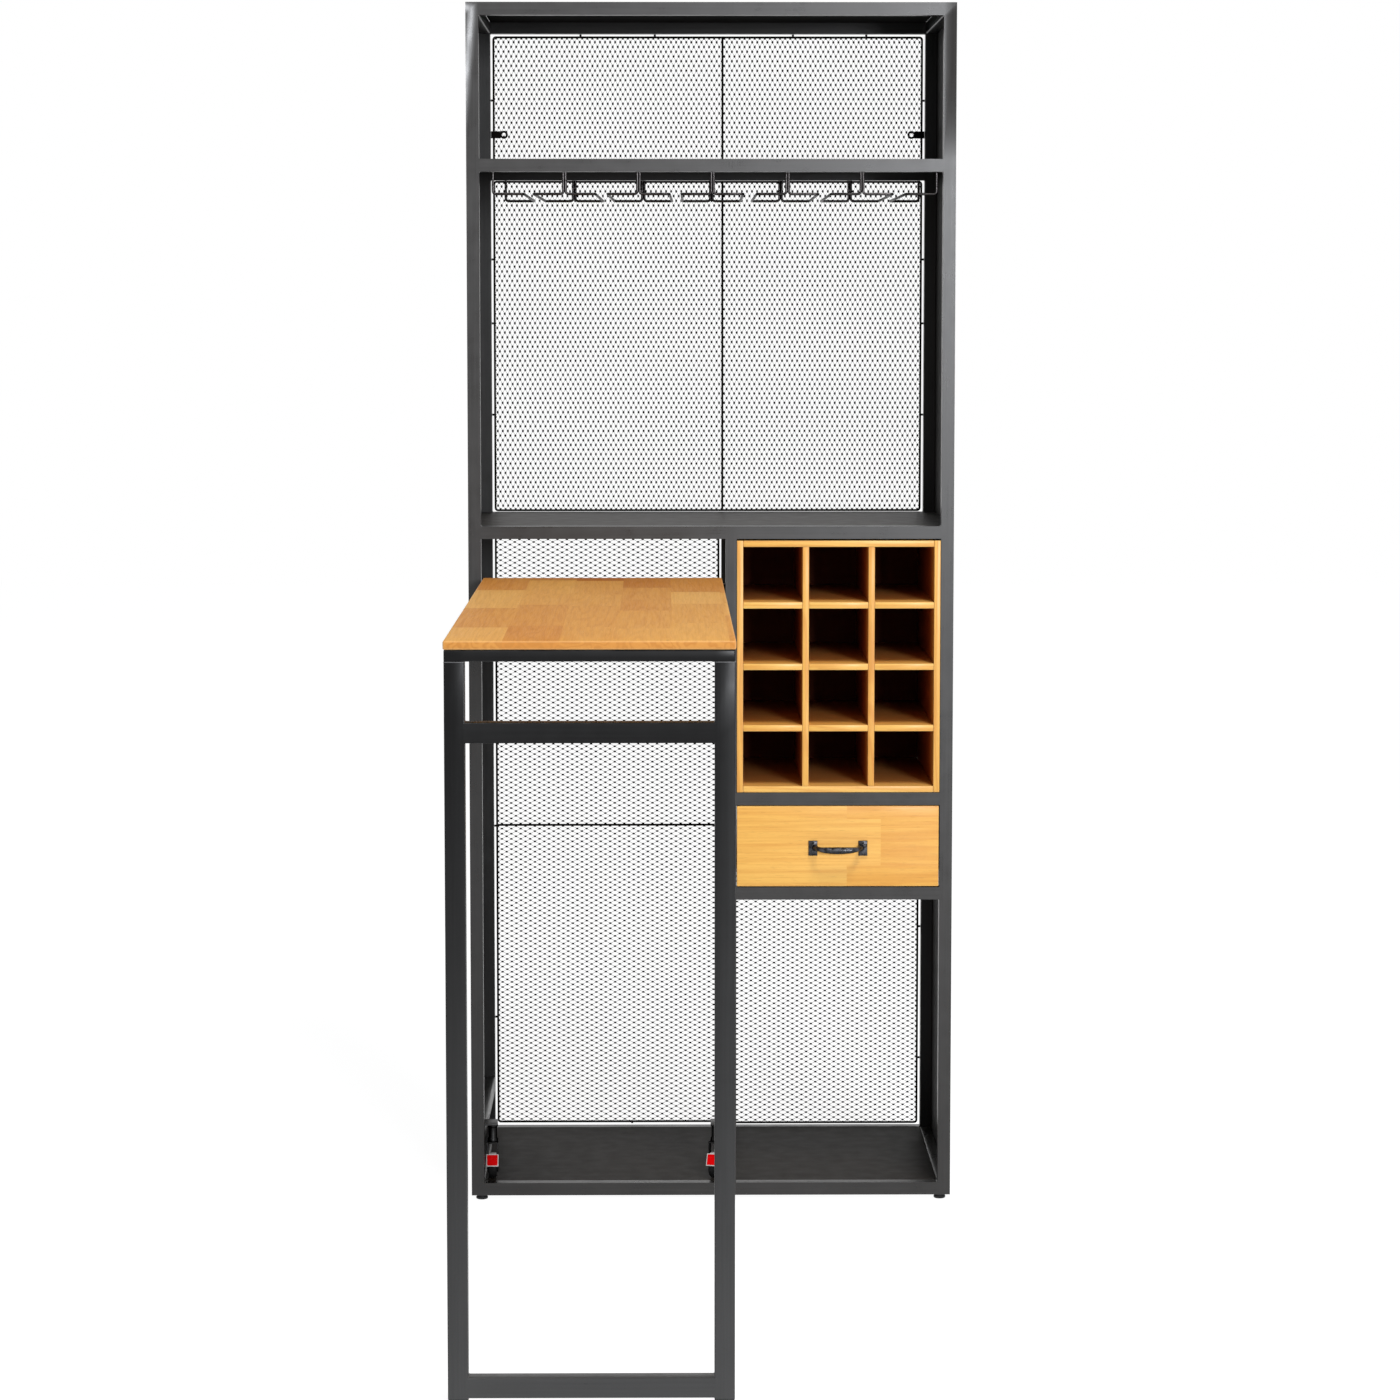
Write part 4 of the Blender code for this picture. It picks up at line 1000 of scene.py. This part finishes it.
def make_stemware_rack():
    """Bent wire, as it hangs: the front ends lean a little to the left, the rear ones to the right."""
    radius, bend, half_pair = 0.0020, 0.0045, 0.0018
    front_lean = (0.0, -0.0036, -0.0036, -0.0036, -0.0020, -0.0014, 0.0)
    back_lean = (0.0032, 0.0024, 0.0018, 0.0, 0.0, 0.0, 0.0)
    count = len(front_lean)
    shelf = box("glass_hanger_1")[1].z
    for k, (ahead, behind) in enumerate(zip(front_lean, back_lean), 1):
        name = f"glass_hanger_{k}"
        low, high = box(name)
        front, back = low.y + radius, high.y - radius
        bottom = low.z + radius
        arms = [side for side in (-1, 1) if 1 <= k + side <= count]
        if len(arms) == 2:
            middle = (low.x + high.x) / 2
        else:
            middle = low.x + radius if arms[0] > 0 else high.x - radius
        paths = []
        for side in arms:
            hang = middle + side * half_pair * (len(arms) - 1)
            arm = high.x - radius if side > 0 else low.x + radius
            corners = [(hang + ahead, front, shelf), (hang + ahead, front, bottom),
                       (arm + ahead, front, bottom), (arm + behind, back, bottom),
                       (hang + behind, back, bottom), (hang + behind, back, shelf)]
            paths.append(rounded_path(corners, bend))
        wires(f"{name}_wire", paths, radius, "wire", "cabinet", name)


# Table


def make_table():
    """Front portal with a middle and a floor rail, top ring, weld seams at the legs' heads, and caps."""
    low, high = box("table_front_frame")
    tube = high.y - low.y
    ring_low, ring_high = box("table_top_frame")
    heights = [v.co.z for v in frame["nodes"]["table_front_frame"].data.vertices]
    mid_top = max(z for z in heights if z < ring_low.z - tube)
    rail_low = min(z for z in heights if z > low.z + GAP)
    portal = [
        (low.x, low.x + tube, low.z, high.z),
        (high.x - tube, high.x, low.z, high.z),
        (low.x, high.x, rail_low, rail_low + tube),
        (low.x, high.x, mid_top - tube, mid_top),
    ]
    builder = soften(outline_block(Y, portal, low.y, high.y), PORTAL_EDGE)
    publish("table_portal", builder, "table", "table", "table_front_frame")
    ring = [
        (low.x, high.x, ring_low.y, ring_low.y + tube),
        (low.x, low.x + tube, ring_low.y, ring_high.y),
        (high.x - tube, high.x, ring_low.y, ring_high.y),
        (ring_low.x, ring_high.x, box("table_rear_leg_left")[0].y, ring_high.y),
    ]
    builder = soften(outline_block(Z, ring, ring_low.z, ring_high.z), RAIL_EDGE)
    publish("table_top_ring", builder, "table", "table", "table_top_frame")
    inset, drop, bend, seam_radius = 0.0002, 0.0004, 0.0022, 0.0007
    level = high.z - drop
    for side, x in (("left", low.x), ("right", high.x - tube)):
        corners = [(x + inset, low.y + inset, level), (x + tube - inset, low.y + inset, level),
                   (x + tube - inset, high.y - inset, level), (x + inset, high.y - inset, level)]
        seam = rounded_path(corners, bend, 4, closed=True)
        # The seam's pale coat is a painted highlight.
        wires(f"table_leg_seam_{side}", [seam], seam_radius, "seam", "table", closed=(0,))
    for side in ("left", "right"):
        cap = f"table_glide_{side}"
        publish(f"{cap}_cap", soften(block(*box(cap)), PLATE_EDGE), "cap", "table", cap)
        make_rear_leg(side)
        make_caster(side)


def make_rear_leg(side):
    """Square tube that stands on the foot plate of the caster."""
    name = f"table_rear_leg_{side}"
    low, high = box(name)
    width, plate_thickness = 0.016, 0.003
    x = (low.x, low.x + width) if side == "left" else (high.x - width, high.x)
    leg = soften(block((x[0], low.y, low.z), (x[1], low.y + width, high.z)), RAIL_EDGE)
    plate = soften(block(low, (high.x, high.y, low.z + plate_thickness)), PLATE_EDGE, 2)
    publish(f"{name}_tube", join(leg, plate), "table", "table", name)


def joint(name):
    return next(j for j in frame["joints"] if j["name"] == name)


def make_caster(side):
    """Braked swivel caster: stem, bearing cup, pressed fork, wheel with hub and bolt, pedal."""
    swivel, spin, press = (joint(f"{kind}_{side}") for kind in ("caster_swivel", "wheel_spin", "pedal_press"))
    centre, axle, pivot = (Vector(j["pos_m"]) for j in (swivel, spin, press))
    rest = Matrix.Rotation(math.atan2(spin["axis"][1], spin["axis"][0]), 3, "Z")
    base = Vector((centre.x, centre.y, 0))
    trail = (axle - base).xy.length
    forward = (pivot - base).xy.length
    top = box(f"caster_fork_{side}")[1].z
    half, yoke_top, yoke_back, yoke_front, yoke_thickness = 0.0085, 0.083, 0.0135, 0.009, 0.003
    stem = lathe([(0, yoke_top), (0.0080, yoke_top), (0.0080, yoke_top + 0.0035), (0.0066, yoke_top + 0.0060),
                  (0.0066, top - 0.0080), (0.0080, top - 0.0060), (0.0080, top), (0, top)], steps=36)
    yoke = block((-half, -yoke_back, yoke_top - yoke_thickness), (half, yoke_front, yoke_top))
    soften(yoke, PORTAL_EDGE)
    sheet, cheek_half, cheek_end, nut_radius, nut_height = 0.0017, 0.0064, 0.006, 0.0042, 0.0009
    cheeks = []
    for sign in (-1, 1):
        a, b = sorted((sign * half, sign * (half - sheet)))
        foot = a, -trail - cheek_half, axle.z - cheek_end
        cheek = block(foot, (b, -trail + cheek_half, yoke_top - 0.001))
        lower = [v for v in cheek.verts if v.co.z < axle.z]
        bmesh.ops.scale(cheek, vec=(1, 0.72, 1), space=Matrix.Translation((0, trail, 0)), verts=lower)
        nut = lathe([(0, 0), (nut_radius, 0), (nut_radius, 0.0006), (0.0034, nut_height), (0, nut_height)],
                    axis=X, steps=6)
        bmesh.ops.scale(nut, vec=(-0.9 * sign, 1, 1), verts=nut.verts)
        cheeks += [soften(cheek, THIN_EDGE, 2), moved(nut, (sign * (half - nut_height), -trail, axle.z))]
    inner = half - 0.0004
    bolt = lathe(mirrored([(0.0028, inner), (0, inner)]), (0, -trail, axle.z), X, 20)
    pin = lathe(mirrored([(0.0017, inner), (0, inner)]), (0, -forward, pivot.z), X, 16)
    name = f"caster_fork_{side}"
    fork = moved(join(stem, yoke, *cheeks, bolt, pin), base, rest)
    publish(f"{name}_pressing", fork, "caster", f"caster_{side}", name)
    name = f"caster_wheel_{side}"
    low, high = box(name)
    r, w = (high.z - low.z) / 2, 0.00625
    tread = [(r, w * 0.40), (r * 0.975, w * 0.75), (r * 0.90, w * 0.98), (r * 0.68, w * 0.90),
             (r * 0.60, w * 0.55), (0.0058, w * 0.55), (0.0052, w * 0.8), (0.0032, w * 0.8)]
    wheel = moved(lathe(mirrored(tread), axis=X, steps=56), axle, rest)
    publish(f"{name}_tyre", wheel, "rubber", f"wheel_{side}", name)
    make_pedal(side, pivot, rest)


def make_pedal(side, pivot, rest):
    """Ribbed pad in a pale rim, on the lever; it slopes down and forwards from its pivot."""
    pad_angle = math.radians(64)
    arm_half, arm_height, reach = 0.0058, 0.0028, 0.0070
    arm = block((-arm_half, -reach - 0.0002, -arm_height), (arm_half, 0.0033, arm_height))
    wide, length, thick, border = 0.0095, 0.0195, 0.0030, 0.0014
    rim = soften(block((-wide, thick * 0.25, -length), (wide, thick, 0)), 0.0007, 2)
    pad = block((-wide + border, 0, -length + border), (wide - border, thick * 0.6, -border))
    half_rib, rib_inset, rib_start, rib_pitch = 0.0005, 0.003, 0.0036, 0.0041
    ribs = []
    for k in range(4):
        z = -length + rib_start + k * rib_pitch
        rib = block((-wide + rib_inset, -0.0003, z - half_rib), (wide - rib_inset, 0.0006, z + half_rib))
        ribs.append(soften(rib, 0.0003, 2))
    slope = Matrix.Rotation(pad_angle - math.pi / 2, 3, "X")
    soften(pad, BOARD_EDGE)
    for builder in (rim, pad, *ribs):
        moved(builder, (0, -reach - thick / 2 + 0.0003, 0.0027), slope)
    name, body = f"brake_pedal_{side}", f"pedal_{side}"
    publish(f"{name}_pad", moved(join(pad, *ribs), pivot, rest), "red", body, name)
    lever = join(soften(arm, PLATE_EDGE), rim)
    publish(f"{name}_lever", moved(lever, pivot, rest), "pale", body)


# Stage, light and camera


def cleared_tree(owner):
    owner.use_nodes = True
    owner.node_tree.nodes.clear()
    return owner.node_tree


def white_for_camera(tree, seen, lit, output):
    """A surface that is plain white where it is looked at, and soft grey as a light."""
    rays = add_node(tree, "ShaderNodeLightPath").outputs
    looked = rays["Is Camera Ray"]
    for ray in ("Is Glossy Ray", "Is Transmission Ray"):
        looked = add_node(tree, "ShaderNodeMath", {0: looked, 1: rays[ray]}, operation="MAXIMUM").outputs[0]
    blend = add_node(tree, "ShaderNodeMixShader", {0: looked, 1: lit.outputs[0], 2: seen.outputs[0]})
    add_node(tree, output, {"Surface": blend.outputs[0]})


def make_stage():
    """White surroundings, and a pale floor that keeps a faint shadow."""
    world = bpy.data.worlds.new("studio")
    bpy.context.scene.world = world
    tree = cleared_tree(world)
    seen = add_node(tree, "ShaderNodeBackground", {"Color": WHITE})
    lit = add_node(tree, "ShaderNodeBackground", {"Color": (0.96, 0.98, 1.0, 1), "Strength": 0.20})
    white_for_camera(tree, seen, lit, "ShaderNodeOutputWorld")
    material = bpy.data.materials.new("pale_floor")
    tree = cleared_tree(material)
    lit = add_node(tree, "ShaderNodeBsdfDiffuse", {"Color": (0.86, 0.86, 0.86, 1)})
    faint = add_node(tree, "ShaderNodeBsdfDiffuse", {"Color": (0.24, 0.24, 0.24, 1)})
    glow = add_node(tree, "ShaderNodeEmission", {"Strength": 0.95})
    seen = add_node(tree, "ShaderNodeAddShader", {0: faint.outputs[0], 1: glow.outputs[0]})
    white_for_camera(tree, seen, lit, "ShaderNodeOutputMaterial")
    builder = bmesh.new()
    bmesh.ops.create_grid(builder, x_segments=4, y_segments=4, size=14)
    mesh = bpy.data.meshes.new("floor")
    builder.to_mesh(mesh)
    builder.free()
    mesh.materials.append(material)
    put("floor", mesh)


def add_lamp(name, place, aim, size, power, colour):
    lamp = bpy.data.lights.new(name, "AREA")
    lamp.shape = "RECTANGLE"
    lamp.size, lamp.size_y = size
    lamp.energy = power
    lamp.color = colour
    thing = put(name, lamp)
    thing.location = place
    thing.rotation_euler = (Vector(aim) - Vector(place)).to_track_quat("-Z", "Y").to_euler()


def make_lights():
    """A cool key from the front right, and a warm light from above."""
    add_lamp("key", (2.30, -8.40, 2.12), (0.1, 0.3, 1.0), (1.25, 1.75), 560, (0.94, 0.96, 1.0))
    add_lamp("top", (1.30, -2.20, 5.30), (0.0, -0.2, 0.9), (1.4, 1.4), 170, (1.0, 0.985, 0.96))


def make_camera():
    camera = bpy.data.cameras.new("camera")
    camera.sensor_width = 36.0
    camera.lens = CAMERA_LENS
    camera.clip_start = 0.1
    camera.clip_end = 100
    thing = put("camera", camera)
    thing.location = CAMERA_PLACE
    thing.rotation_euler = (math.pi / 2 - CAMERA_PITCH, 0, -CAMERA_YAW)
    bpy.context.scene.camera = thing


def main():
    bpy.context.scene.view_settings.view_transform = "Standard"
    make_metals()
    make_woods()
    make_plastics()
    make_camera()
    make_stage()
    make_lights()
    measures = make_frames()
    make_bars()
    make_runners()
    make_sheets()
    make_welds(*measures)
    make_mesh_back()
    make_lugs()
    make_feet()
    make_rack()
    make_tabletop()
    make_drawer()
    make_handle()
    make_stemware_rack()
    make_table()
    bpy.context.view_layer.update()


main()
